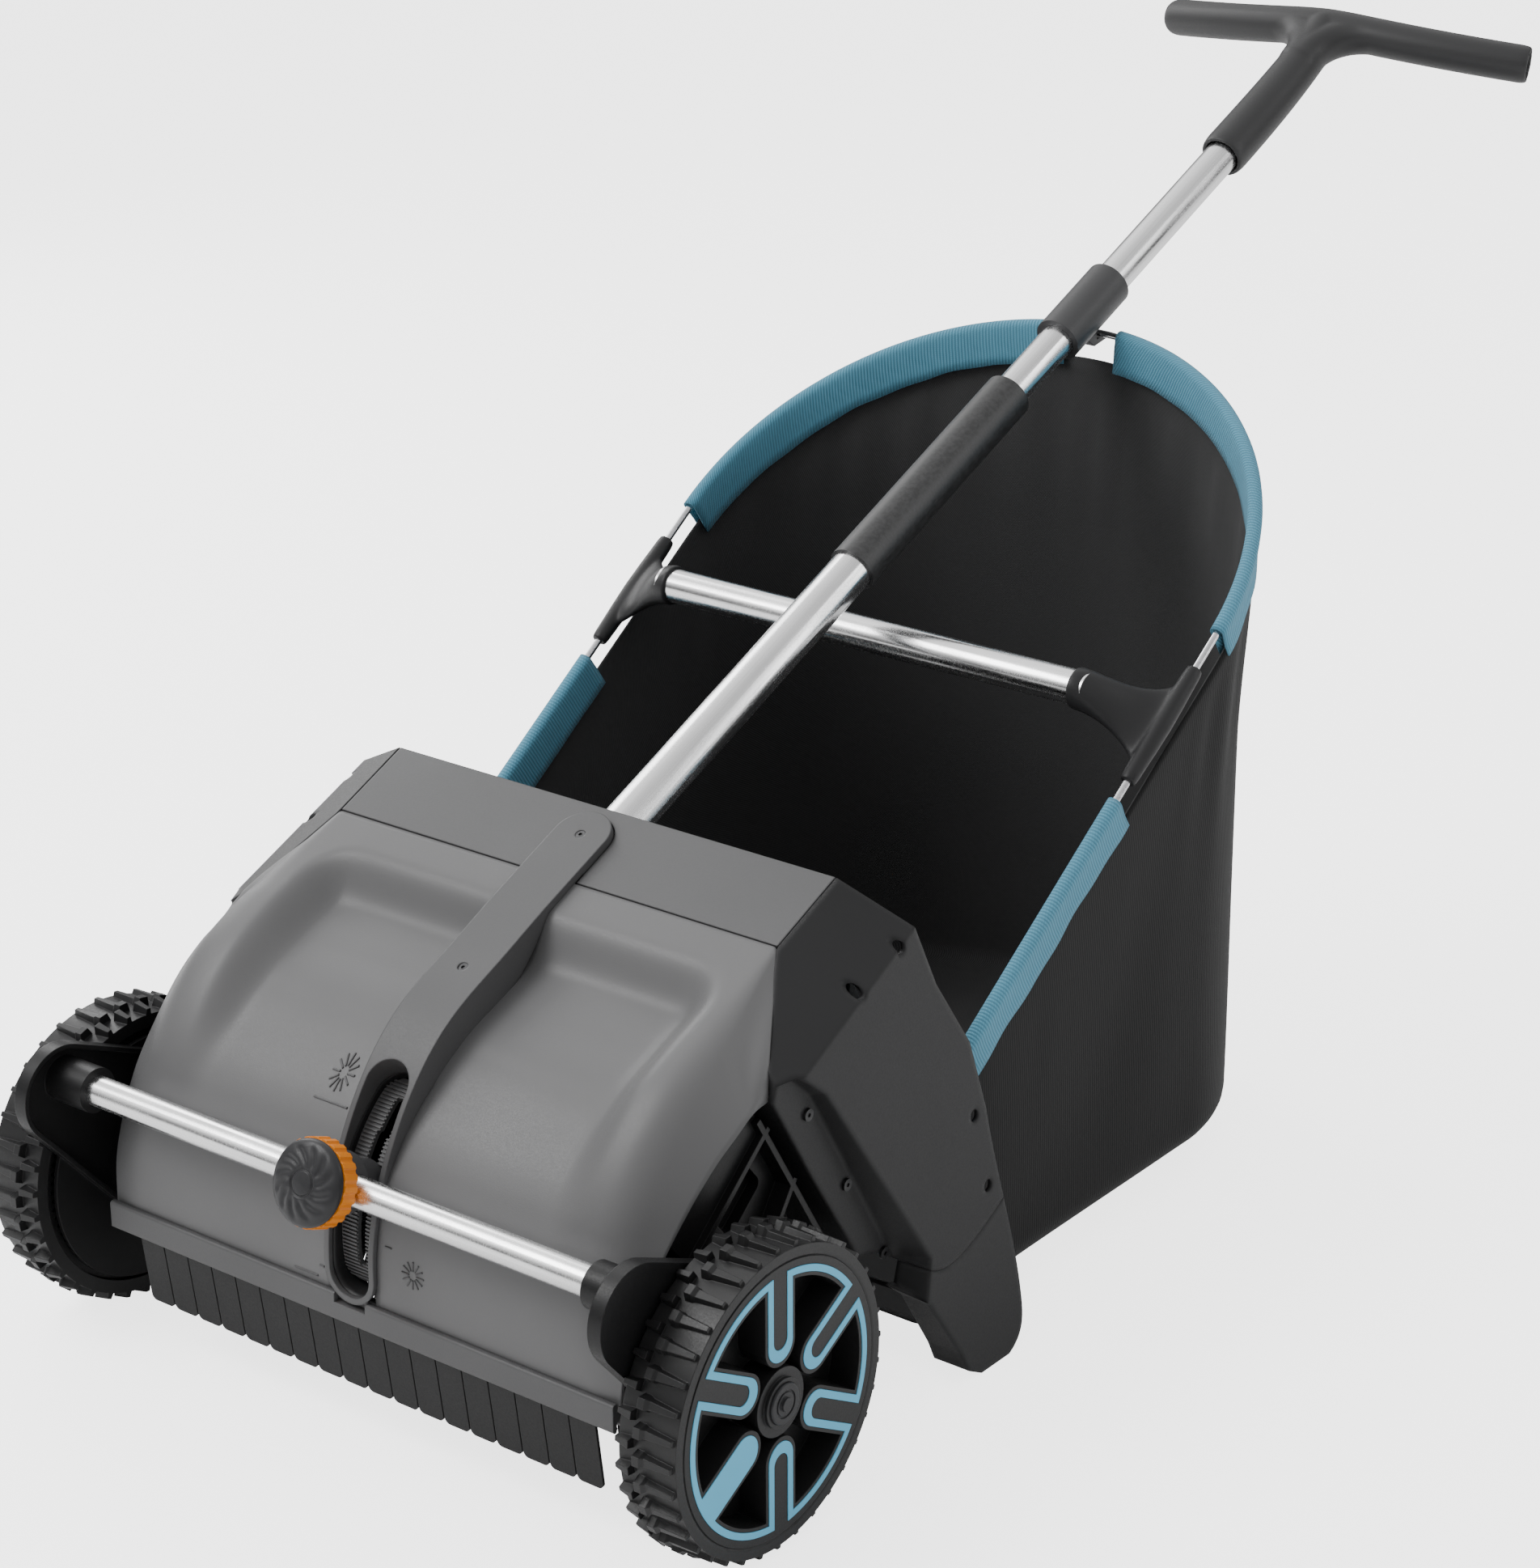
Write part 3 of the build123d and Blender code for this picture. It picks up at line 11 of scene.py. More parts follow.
import bmesh
import bpy
import numpy as np
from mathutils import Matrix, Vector


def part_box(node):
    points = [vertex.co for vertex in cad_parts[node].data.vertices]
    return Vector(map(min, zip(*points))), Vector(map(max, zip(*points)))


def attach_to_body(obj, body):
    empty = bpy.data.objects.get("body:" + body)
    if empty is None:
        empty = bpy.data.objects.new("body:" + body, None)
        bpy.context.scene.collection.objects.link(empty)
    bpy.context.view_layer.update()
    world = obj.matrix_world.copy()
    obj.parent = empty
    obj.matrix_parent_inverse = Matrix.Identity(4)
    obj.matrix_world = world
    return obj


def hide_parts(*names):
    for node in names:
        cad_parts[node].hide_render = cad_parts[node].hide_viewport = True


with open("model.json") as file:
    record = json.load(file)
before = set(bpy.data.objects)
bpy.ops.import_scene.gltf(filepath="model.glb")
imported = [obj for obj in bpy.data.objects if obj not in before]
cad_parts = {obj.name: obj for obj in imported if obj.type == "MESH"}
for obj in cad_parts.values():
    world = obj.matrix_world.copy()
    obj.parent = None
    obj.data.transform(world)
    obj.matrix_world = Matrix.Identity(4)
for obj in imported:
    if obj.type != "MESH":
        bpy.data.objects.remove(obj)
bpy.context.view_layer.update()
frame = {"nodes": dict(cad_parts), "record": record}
nodes = frame["nodes"]


# ---------------------------------------------------------------- places shared by several pieces
wheel_low, wheel_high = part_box("wheel_right")
AXLE_Y = (wheel_low.y + wheel_high.y) / 2
AXLE_Z = (wheel_low.z + wheel_high.z) / 2
POLE_SLOPE = math.radians(23.8)
RIM_SLOPE = math.radians(35)
GEAR_OFFSET = 64.0                      # mm from the wheel axle to the brush shaft
GEAR_RISE = math.radians(30)
BRUSH_SHAFT = np.array([GEAR_OFFSET * math.cos(GEAR_RISE),
                        AXLE_Z * 1000 + GEAR_OFFSET * math.sin(GEAR_RISE)])


def spot(x, behind, up):
    """A point in millimetres: X, distance behind the wheel axle, height."""
    return Vector((x * 0.001, AXLE_Y + behind * 0.001, up * 0.001))


# ---------------------------------------------------------------- material building
class Look:
    """A node material under construction; each method adds a node and returns its output."""

    def __init__(self, name):
        self.material = bpy.data.materials.new(name)
        self.material.use_nodes = True
        self.tree = self.material.node_tree
        self.shader = self.tree.nodes["Principled BSDF"]
        self.place = self.node("ShaderNodeTexCoord").outputs["Object"]

    def node(self, kind, **values):
        made = self.tree.nodes.new(kind)
        for key, value in values.items():
            setattr(made, key, value)
        return made

    def link(self, source, target):
        """Feeds a socket from another socket or sets its plain value."""
        if isinstance(source, bpy.types.NodeSocket):
            self.tree.links.new(source, target)
        else:
            target.default_value = source

    def stretch(self, scale, lean=0.0):
        """The object's coordinates, leaned about X and then scaled."""
        leaned = self.node("ShaderNodeMapping")
        leaned.inputs["Rotation"].default_value = (lean, 0, 0)
        self.link(self.place, leaned.inputs["Vector"])
        scaled = self.node("ShaderNodeMapping")
        scaled.inputs["Scale"].default_value = scale
        self.link(leaned.outputs["Vector"], scaled.inputs["Vector"])
        return scaled.outputs["Vector"]

    def noise(self, scale, detail=2.0, rough=0.5, source=None):
        made = self.node("ShaderNodeTexNoise")
        self.link(source or self.place, made.inputs["Vector"])
        made.inputs["Scale"].default_value = scale
        made.inputs["Detail"].default_value = detail
        made.inputs["Roughness"].default_value = rough
        return made.outputs["Fac"]

    def cells(self, scale):
        made = self.node("ShaderNodeTexVoronoi")
        self.link(self.place, made.inputs["Vector"])
        made.inputs["Scale"].default_value = scale
        return made.outputs["Distance"]

    def math(self, operation, first, second=0.0, third=0.0):
        made = self.node("ShaderNodeMath", operation=operation)
        self.link(first, made.inputs[0])
        self.link(second, made.inputs[1])
        self.link(third, made.inputs[2])
        return made.outputs[0]

    def ramp(self, source, low, high, start=0.0, end=1.0):
        """Maps low..high smoothly to start..end."""
        made = self.node("ShaderNodeMapRange", interpolation_type="SMOOTHSTEP")
        self.link(source, made.inputs["Value"])
        for key, value in (("From Min", low), ("From Max", high), ("To Min", start), ("To Max", end)):
            self.link(value, made.inputs[key])
        return made.outputs["Result"]

    def mix(self, share, first, second):
        """A colour between two colours."""
        made = self.node("ShaderNodeMix", data_type="RGBA")
        self.link(share, made.inputs[0])
        for value, slot in ((first, 6), (second, 7)):
            if isinstance(value, tuple):
                value = (*value, 1.0)
            self.link(value, made.inputs[slot])
        return made.outputs[2]

    def axis(self, letter, source=None):
        made = self.node("ShaderNodeSeparateXYZ")
        self.link(source or self.place, made.inputs[0])
        return made.outputs[letter]

    def bump(self, height, strength, distance, normal=None):
        made = self.node("ShaderNodeBump")
        made.inputs["Strength"].default_value = strength
        made.inputs["Distance"].default_value = distance
        self.link(height, made.inputs["Height"])
        if normal:
            self.link(normal, made.inputs["Normal"])
        return made.outputs["Normal"]

    def finish(self, **values):
        names = {"colour": "Base Color", "rough": "Roughness", "metal": "Metallic", "normal": "Normal",
                 "gloss": "Specular IOR Level", "sheen": "Sheen Weight", "sheen_rough": "Sheen Roughness"}
        for key, value in values.items():
            if isinstance(value, tuple):
                value = (*value, 1.0)
            self.link(value, self.shader.inputs[names[key]])
        return self.material


GRAIN = 0.00025                         # metres: the eroded texture of moulded plastic
GRAIN_DEPTH = 0.35


def grained_plastic(name, colour, rough=0.55, gloss=0.42, soft=0.8):
    """Moulded plastic with a fine eroded texture; edges are rounded and made less rough over soft mm, and
    lightened there as a painted highlight.
    """
    look = Look(name)
    rounded = look.node("ShaderNodeBevel", samples=6)
    rounded.inputs["Radius"].default_value = soft * 0.001
    agree = look.node("ShaderNodeVectorMath", operation="DOT_PRODUCT")
    look.link(rounded.outputs["Normal"], agree.inputs[0])
    look.link(look.node("ShaderNodeNewGeometry").outputs["Normal"], agree.inputs[1])
    edge = look.ramp(agree.outputs["Value"], 0.7, 0.98, 1.0, 0.0)
    fine = look.cells(1 / (GRAIN * 2.4))
    finer = look.noise(1 / (GRAIN * 5), 3, 0.6)
    wide = look.noise(6, 2, 0.5)
    light = tuple(min(1.0, c * 1.08) for c in colour)
    dark = tuple(c * 0.94 for c in colour)
    shade = look.mix(look.ramp(wide, 0.3, 0.7), dark, light)
    shade = look.mix(look.math("MULTIPLY", finer, 0.18), shade, light)
    # Painted highlight: the colour is lifted along the rounded edges, where light would catch them.
    edge_highlight = tuple(min(1.0, c * 1.25 + 0.003) for c in colour)
    shade = look.mix(look.math("MULTIPLY", edge, 0.4), shade, edge_highlight)
    roughness = look.math("ADD", look.ramp(finer, 0.3, 0.7, rough - 0.06, rough + 0.06),
                          look.math("MULTIPLY", edge, -0.08))
    height = look.math("ADD", look.math("MULTIPLY", fine, 0.6), look.math("MULTIPLY", finer, 0.5))
    return look.finish(colour=shade, rough=roughness, gloss=gloss,
                       normal=look.bump(height, GRAIN_DEPTH, GRAIN * 0.5, rounded.outputs["Normal"]))


def drawn_tube(name, along, lean=0.0):
    """Bright aluminium tube with fine draw lines along one of its axes after leaning it about X."""
    look = Look(name)
    fine = [9 if letter == along else 1500 for letter in "XYZ"]
    broad = [16 if letter == along else 240 for letter in "XYZ"]
    lines = look.noise(1.0, 3, 0.65, source=look.stretch(fine, lean))
    soft = look.noise(1.0, 2, 0.5, source=look.stretch(broad, lean))
    speckle = look.noise(900, 2, 0.7)
    smudge = look.noise(22, 4, 0.6)
    shade = look.mix(look.ramp(lines, 0.35, 0.65), (0.9, 0.9, 0.905), (0.98, 0.98, 0.985))
    shade = look.mix(look.ramp(smudge, 0.5, 0.8, 0.0, 0.15), shade, (0.7, 0.7, 0.71))
    roughness = look.math("ADD", look.ramp(soft, 0.3, 0.7, 0.14, 0.27),
                          look.ramp(speckle, 0.4, 0.75, 0.0, 0.1))
    height = look.math("ADD", lines, look.math("MULTIPLY", speckle, 0.4))
    return look.finish(colour=shade, rough=roughness, metal=1.0,
                       normal=look.bump(height, 0.07, 0.0001))


def turned_steel(name, colour, rough=0.3):
    """Small turned or pressed steel part with a faint plated mottle."""
    look = Look(name)
    mottle = look.noise(420, 3, 0.6)
    wide = look.noise(60, 2, 0.5)
    shade = look.mix(look.ramp(mottle, 0.3, 0.7), tuple(c * 0.8 for c in colour), colour)
    roughness = look.ramp(wide, 0.3, 0.7, rough - 0.08, rough + 0.12)
    return look.finish(colour=shade, rough=roughness, metal=1.0, normal=look.bump(mottle, 0.15, 0.0001))


def woven(name, colour, inside, pitch, slant, inside_pitch, relief):
    """Cloth with a slanted fine weave outside and upright columns of stitches inside."""
    look = Look(name)
    surface = look.node("ShaderNodeUVMap", uv_map="surface").outputs["UV"]
    around = look.axis("X", surface)
    down = look.axis("Y", surface)
    is_inside = look.math("GREATER_THAN", around, FAR_SIDE * 0.0005)
    fray = look.noise(900, 3, 0.7)
    wobble = look.math("MULTIPLY", look.noise(70, 2, 0.5), 0.9)

    def wave(first, first_pitch, second, second_pitch):
        turns = look.math("ADD", look.math("DIVIDE", first, first_pitch),
                          look.math("DIVIDE", second, second_pitch))
        turns = look.math("ADD", look.math("MULTIPLY", turns, 2 * math.pi), wobble)
        return look.math("MULTIPLY_ADD", look.math("SINE", turns), 0.5, 0.5)

    twill = look.math("MULTIPLY", wave(around, pitch, down, pitch * slant),
                      look.math("MULTIPLY_ADD", wave(down, pitch * 0.9, around, 1.0), 0.35, 0.65))
    columns = look.math("MULTIPLY", wave(around, inside_pitch, down, 1.0),
                        look.math("MULTIPLY_ADD", wave(down, inside_pitch * 0.62, around, inside_pitch * 2),
                                  0.5, 0.5))
    height = look.node("ShaderNodeMix", data_type="FLOAT")
    look.link(is_inside, height.inputs[0])
    look.link(twill, height.inputs[2])
    look.link(columns, height.inputs[3])
    weave = look.math("ADD", height.outputs[0], look.math("MULTIPLY", fray, 0.35))
    shade = look.mix(is_inside, colour, inside)
    # Painted shade: the hollows of the weave are darkened towards near black.
    shade = look.mix(look.ramp(weave, 0.1, 0.95, 0.55, 0.0), shade, tuple(c * 0.3 for c in inside))
    worn = look.ramp(look.noise(9, 4, 0.6), 0.35, 0.75, 0.0, 0.12)
    faded = look.mix(is_inside, *(tuple(min(1.0, c * 1.35) for c in face) for face in (colour, inside)))
    shade = look.mix(worn, shade, faded)
    return look.finish(colour=shade, rough=0.82, gloss=0.25, sheen=0.12, sheen_rough=0.5,
                       normal=look.bump(weave, relief, pitch * 0.35))


def closed_foam(name):
    """Black foam sleeve: a soft skin with pores and faint wrinkles round it."""
    look = Look(name)
    pores = look.cells(950)
    skin = look.noise(330, 4, 0.6)
    rings = look.noise(1.0, 2, 0.5, source=look.stretch((25, 170, 25), -POLE_SLOPE))
    shade = look.mix(look.ramp(skin, 0.3, 0.7), (0.02, 0.02, 0.0205), (0.042, 0.042, 0.043))
    height = look.math("ADD", look.math("MULTIPLY", pores, 0.5), look.math("ADD", skin, rings))
    return look.finish(colour=shade, rough=look.ramp(skin, 0.3, 0.7, 0.4, 0.5), gloss=0.65,
                       normal=look.bump(height, 0.16, 0.0002))


FAR_SIDE = 20000.0          # UV offset in mm that marks the inner face of a sheet

slot_material = {
    "shell_grey": grained_plastic("shell_grey", (0.13, 0.13, 0.132), 0.44, soft=1.2),
    "cover_grey": grained_plastic("cover_grey", (0.09, 0.09, 0.092), 0.47, soft=1.6),
    "trim_dark": grained_plastic("trim_dark", (0.023, 0.023, 0.024), 0.42, gloss=0.3, soft=1.5),
    "frame_black": grained_plastic("frame_black", (0.01, 0.01, 0.0105), 0.4, gloss=0.3),
    "wheel_black": grained_plastic("wheel_black", (0.015, 0.015, 0.0155), 0.4, gloss=0.4),
    "inlay_blue": grained_plastic("inlay_blue", (0.14, 0.58, 0.86), 0.42),
    "knob_orange": grained_plastic("knob_orange", (0.84, 0.25, 0.01), 0.33),
    "knob_grey": grained_plastic("knob_grey", (0.028, 0.028, 0.03), 0.36, gloss=0.35),
    "tube_metal": drawn_tube("tube_metal_across", "X"),
    "rod_chrome": turned_steel("rod_chrome", (0.8, 0.8, 0.82), 0.14),
    "steel": turned_steel("steel", (0.09, 0.09, 0.092), 0.36),
    "foam_sleeve": closed_foam("foam_sleeve"),
    "flap_rubber": grained_plastic("flap_rubber", (0.018, 0.018, 0.0185), 0.5, gloss=0.3),
    "gear_nylon": grained_plastic("gear_nylon", (0.012, 0.012, 0.0125), 0.4),
    "bristle": grained_plastic("bristle", (0.02, 0.02, 0.02), 0.5),
    "bag_fabric": woven("bag_fabric", (0.052, 0.052, 0.053), (0.0045, 0.0045, 0.0047),
                        0.0013, 1.0, 0.0026, 0.35),
    "band_blue": woven("band_blue", (0.17, 0.47, 0.63), (0.13, 0.39, 0.55), 0.0024, 2.2, 0.0024, 0.6),
}
pole_metal = drawn_tube("tube_metal_pole", "Y", -POLE_SLOPE)
rack_grey = grained_plastic("rack_grey", (0.12, 0.12, 0.122), 0.5, soft=0.3)
collar_grey = grained_plastic("collar_grey", (0.055, 0.055, 0.057), 0.42)
grip_dark = grained_plastic("grip_dark", (0.034, 0.034, 0.035), 0.46, gloss=0.4)
panel_dark = grained_plastic("panel_dark", (0.021, 0.021, 0.022), 0.42, gloss=0.28, soft=5.0)
own_material = {"lower_pole": pole_metal, "upper_pole": pole_metal, "front_lip": slot_material["cover_grey"],
                "side_panel_left": panel_dark, "side_panel_right": panel_dark, "foot_left": panel_dark,
                "foot_right": panel_dark, "slot_rack": rack_grey, "hook_collar": collar_grey,
                "clamp_boss": collar_grey, "t_grip": grip_dark,
                "arm_left": slot_material["frame_black"], "arm_right": slot_material["frame_black"]}
for part in frame["record"]["subparts"]:
    target = nodes[part["node"]]
    target.data.materials.clear()
    target.data.materials.append(own_material.get(part["node"], slot_material[part["material_slot"]]))


# ---------------------------------------------------------------- mesh building
def through(params, points, where):
    """Smooth values at some parameters of a curve that passes through the given points."""
    params = np.array(params, float)
    points = np.array(points, float)
    slope = np.gradient(points, params, axis=0)
    cell = np.clip(np.searchsorted(params, where, side="right") - 1, 0, len(params) - 2)
    width = (params[cell + 1] - params[cell])[:, None]
    t = (np.array(where) - params[cell])[:, None] / width
    return ((2 * t**3 - 3 * t**2 + 1) * points[cell] + (t**3 - 2 * t**2 + t) * width * slope[cell]
            + (3 * t**2 - 2 * t**3) * points[cell + 1] + (t**3 - t**2) * width * slope[cell + 1])


def lengths(points):
    """Distance along a line of points, starting at zero."""
    steps = np.linalg.norm(np.diff(np.array(points, float), axis=0), axis=1)
    return np.concatenate(([0.0], np.cumsum(steps)))


def ease(value):
    value = np.clip(value, 0.0, 1.0)
    return value * value * (3 - 2 * value)


def grid_normals(grid):
    across = np.gradient(grid, axis=1)
    along = np.gradient(grid, axis=0)
    normal = np.cross(across, along)
    return normal / np.maximum(np.linalg.norm(normal, axis=2, keepdims=True), 1e-9)


def new_piece(name, points, faces, material, uv=None):
    """A mesh object from millimetre points in the (X, behind the axle, height) frame."""
    mesh = bpy.data.meshes.new(name)
    mesh.from_pydata([spot(*point) for point in points], [], faces)
    if uv is not None:
        layer = mesh.uv_layers.new(name="surface")
        corner = np.zeros(len(mesh.loops), np.int32)
        mesh.loops.foreach_get("vertex_index", corner)
        layer.data.foreach_set("uv", (np.array(uv)[corner] * 0.001).ravel())
    mesh.shade_smooth()
    mesh.materials.append(material)
    piece = bpy.data.objects.new(name, mesh)
    bpy.context.scene.collection.objects.link(piece)
    return piece


def sheet(name, grid, thickness, material, uv):
    """A sheet of rows and columns of points, thickened inwards; grid normals face outwards."""
    rows, columns = grid.shape[:2]
    inner = grid - grid_normals(grid) * thickness
    points = np.concatenate((grid.reshape(-1, 3), inner.reshape(-1, 3)))
    inner_uv = uv + np.array([FAR_SIDE, 0.0])
    index = np.arange(rows * columns).reshape(rows, columns)
    faces = []
    for first, second, third, fourth in zip(index[:-1, :-1].ravel(), index[:-1, 1:].ravel(),
                                            index[1:, 1:].ravel(), index[1:, :-1].ravel()):
        faces.append((first, second, third, fourth))
        faces.append(tuple(corner + rows * columns for corner in (fourth, third, second, first)))
    border = np.concatenate((index[0, :-1], index[:-1, -1], index[-1, :0:-1], index[:0:-1, 0]))
    for here, there in zip(border, np.roll(border, -1)):
        faces.append((there, here, here + rows * columns, there + rows * columns))
    faces = [[int(corner) for corner in face] for face in faces]
    return new_piece(name, points, faces, material,
                     np.concatenate((uv.reshape(-1, 2), inner_uv.reshape(-1, 2))))


def flat_uv(grid):
    """UV in mm that follows the sheet: along its first row and down its first column's distances."""
    across = np.concatenate((np.zeros((grid.shape[0], 1)),
                             np.cumsum(np.linalg.norm(np.diff(grid, axis=1), axis=2), axis=1)), axis=1)
    down = np.concatenate((np.zeros((1, grid.shape[1])),
                           np.cumsum(np.linalg.norm(np.diff(grid, axis=0), axis=2), axis=0)))
    return np.stack((across, down), axis=2)


def modifier(piece, kind, **values):
    made = piece.modifiers.new(kind.lower(), kind)
    for key, value in values.items():
        setattr(made, key, value)
    return made


def apply_modifiers(piece):
    bpy.context.view_layer.update()
    solved = piece.evaluated_get(bpy.context.evaluated_depsgraph_get())
    mesh = bpy.data.meshes.new_from_object(solved)
    piece.modifiers.clear()
    piece.data = mesh


def face_outwards(piece):
    """Turns every face of a closed mesh to the outside."""
    shape = bmesh.new()
    shape.from_mesh(piece.data)
    bmesh.ops.recalc_face_normals(shape, faces=shape.faces)
    shape.to_mesh(piece.data)
    shape.free()


def closed_loft(rings):
    """Points and faces of a closed solid through rings of equally many points."""
    count = len(rings[0])
    points = [point for ring in rings for point in ring]
    faces = [tuple(range(count))[::-1], tuple(range((len(rings) - 1) * count, len(rings) * count))]
    for ring in range(len(rings) - 1):
        for corner in range(count):
            here, there = ring * count + corner, ring * count + (corner + 1) % count
            faces.append((here, there, there + count, here + count))
    return points, faces


def moulding(name, lofts, material, voxel, passes):
    """Closed solids that overlap, melted into one smooth moulding on a grid of voxel metres."""
    points, faces = [], []
    for loft_points, loft_faces in lofts:
        faces += [tuple(corner + len(points) for corner in face) for face in loft_faces]
        points += loft_points
    piece = new_piece(name, points, faces, material)
    face_outwards(piece)
    modifier(piece, "REMESH", mode="VOXEL", voxel_size=voxel, use_smooth_shade=True)
    modifier(piece, "SMOOTH", factor=0.5, iterations=passes)
    apply_modifiers(piece)
    return piece


def attach(piece, body, slot, *replaced):
    """Puts a piece on a body and in the place of some CAD nodes; the slot is not used."""
    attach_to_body(piece, body)
    if replaced:
        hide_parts(*replaced)


# ---------------------------------------------------------------- front shell
SHELL_WALL = 3.0
SHELL_ROWS = 118
SHELL_MIDDLE = [(-60, 98), (-60, 112), (-60, 125), (-59.1, 140), (-56.5, 155.5), (-46.7, 184.6),
                (-24.9, 225.2), (15, 266), (45.8, 282.3), (72, 293), (131, 319)]
SHELL_EDGE = {0.0: (211, -58, 98), 0.09: (213, -55, 127), 0.2: (216, -44, 155), 0.32: (219, -27, 184),
              0.43: (221, -6, 208), 0.55: (223, 15, 228), 0.7: (224.5, 37, 243), 0.85: (224, 53, 251),
              1.0: (222, 69.5, 252)}
SEAM_BOW = np.array([15.0, -22.0, 4.0])
CREASE_X = {0.0: 194, 0.75: 192, 0.9: 186, 1.0: 181}
SCOOP_HALF = 172.0
SCOOP_WALL = 32.0
SCOOP_CORNER = 36.0
SCOOP_START = (-47, 184)                # both as (distance behind the axle, height)
SCOOP_END = (109, 309)
SCOOP_DEPTH = {0: 0.0, 18: 3.0, 34: 6.0, 64: 12.6, 95: 17.4, 140: 20.6, 220: 20.6}
FLANK_STEPS = 8                         # points round the bend between the face and a flank
SIDE_STEPS = 9                          # points from the bend to the shell's lower edge
SLOT_HALF = 16.9
SLOT_SPAN = (129.0, 187.0)              # degrees about the brush shaft
RACK_RADIUS = 103.3


def shell_rows(count):
    """Middle line, outward directions, crease and lower edge of the front shell, row by row."""
    knots = lengths(SHELL_MIDDLE)
    where = np.linspace(0, knots[-1], count)
    middle = through(knots, SHELL_MIDDLE, where)
    tangent = np.gradient(middle, axis=0)
    tangent /= np.linalg.norm(tangent, axis=1, keepdims=True)
    outward = np.column_stack((-tangent[:, 1], tangent[:, 0]))
    share = where / knots[-1]
    edge = through(list(SHELL_EDGE), list(SHELL_EDGE.values()), share)
    crease = np.interp(share, list(CREASE_X), list(CREASE_X.values()))
    return where, middle, outward, crease, edge


def flank(corner, edge, bend, bow):
    """One row of the shell's flank: a rounded bend at the crease, then on to the lower edge."""
    reach = np.linalg.norm(edge - corner)
    towards = (edge - corner) / reach
    start = corner - np.array([bend, 0, 0])
    end = corner + towards * min(bend, reach * 0.6)
    points = []
    for t in np.arange(1, FLANK_STEPS + 1) / FLANK_STEPS:
        points.append((1 - t)**2 * start + 2 * t * (1 - t) * corner + t**2 * end)
    for t in np.arange(1, SIDE_STEPS + 1) / SIDE_STEPS:
        points.append(end + (edge - end) * t + 2 * t * t * (1 - t) * bow * 1.4)
    return points


def shell_grid():
    """The outer face of the front shell from its lip to its seam: columns run from left to right."""
    where, middle, outward, crease, edge = shell_rows(SHELL_ROWS)

    def nearest(spot_on_middle):
        return where[np.argmin(np.hypot(*(middle - np.array(spot_on_middle)).T))]

    scoop_start, scoop_end = nearest(SCOOP_START), nearest(SCOOP_END)
    floor_depth = np.interp(where - scoop_start, list(SCOOP_DEPTH), list(SCOOP_DEPTH.values()))
    bends = np.interp(where / where[-1], (0, 0.1, 0.3, 0.78, 1), (5, 14, 17, 13, 3))
    flat = np.concatenate((np.linspace(0, 136, 20), np.linspace(139, 170, 11)))
    half = np.zeros((len(where), len(flat) + FLANK_STEPS + SIDE_STEPS, 3))
    for row in range(len(where)):
        corner = np.array([crease[row], *middle[row]])
        bow = SEAM_BOW * ease((where[row] / where[-1] - 0.8) / 0.2)
        half[row, :len(flat), 0] = flat * (crease[row] - bends[row]) / flat[-1]
        half[row, :len(flat), 1:] = middle[row]
        half[row, len(flat):] = flank(corner, edge[row], bends[row], bow)
        side = SCOOP_HALF - half[row, :, 0]
        top = scoop_end - where[row]
        inside = SCOOP_CORNER - np.hypot(np.maximum(SCOOP_CORNER - side, 0), max(SCOOP_CORNER - top, 0))
        depth = floor_depth[row] * ease(np.minimum(np.minimum(side, top), inside) / SCOOP_WALL)
        half[row, :, 1:] -= outward[row] * depth[:, None]
    half[:, :, 1:] = blur_rows(half[:, :, 1:])
    left = half[:, :0:-1].copy()
    left[:, :, 0] *= -1
    return np.concatenate((left, half), axis=1)


def blur_rows(values):
    """Two light smoothing passes along the rows that keep the first and last row in place."""
    for _ in range(2):
        values[1:-1] = (values[:-2] + 2 * values[1:-1] + values[2:]) / 4
    return values


def round_shaft(angle, radius):
    """The (behind, up) place at an angle in degrees and a distance from the brush shaft."""
    turn = math.radians(angle)
    return BRUSH_SHAFT + radius * np.array([math.cos(turn), math.sin(turn)])


def slot_cutter():
    """A wedge that follows the slot round the brush shaft, to open the shell beneath the spine."""
    half_width, inner, outer, steps = SLOT_HALF + 1.5, 92, 158, 24
    points = []
    for angle in np.linspace(SLOT_SPAN[0] - 8.5, SLOT_SPAN[1] + 8.5, steps):
        for radius, x in ((inner, -1), (inner, 1), (outer, 1), (outer, -1)):
            points.append((x * half_width, *round_shaft(angle, radius)))
    faces = [(3, 2, 1, 0), tuple(4 * (steps - 1) + corner for corner in range(4))]
    for ring in range(steps - 1):
        for corner in range(4):
            after = (corner + 1) % 4
            faces.append((4 * ring + after, 4 * ring + 4 + after, 4 * ring + 4 + corner, 4 * ring + corner))
    return new_piece("slot_cutter", points, faces, slot_material["shell_grey"])


def slot_outline():
    """The slot's outline as (x, angle about the brush shaft, distance past that angle)."""
    first, last = SLOT_SPAN
    sides = np.linspace(first, last, 20)
    outline = [(SLOT_HALF, angle, 0.0) for angle in sides]
    outline += [(SLOT_HALF * math.cos(t), last, SLOT_HALF * math.sin(t))
                for t in np.linspace(0, math.pi, 14)[1:-1]]
    outline += [(-SLOT_HALF, angle, 0.0) for angle in sides[::-1]]
    outline += [(SLOT_HALF * math.cos(t), first, SLOT_HALF * math.sin(t))
                for t in np.linspace(-math.pi, 0, 14)[1:]]
    return outline


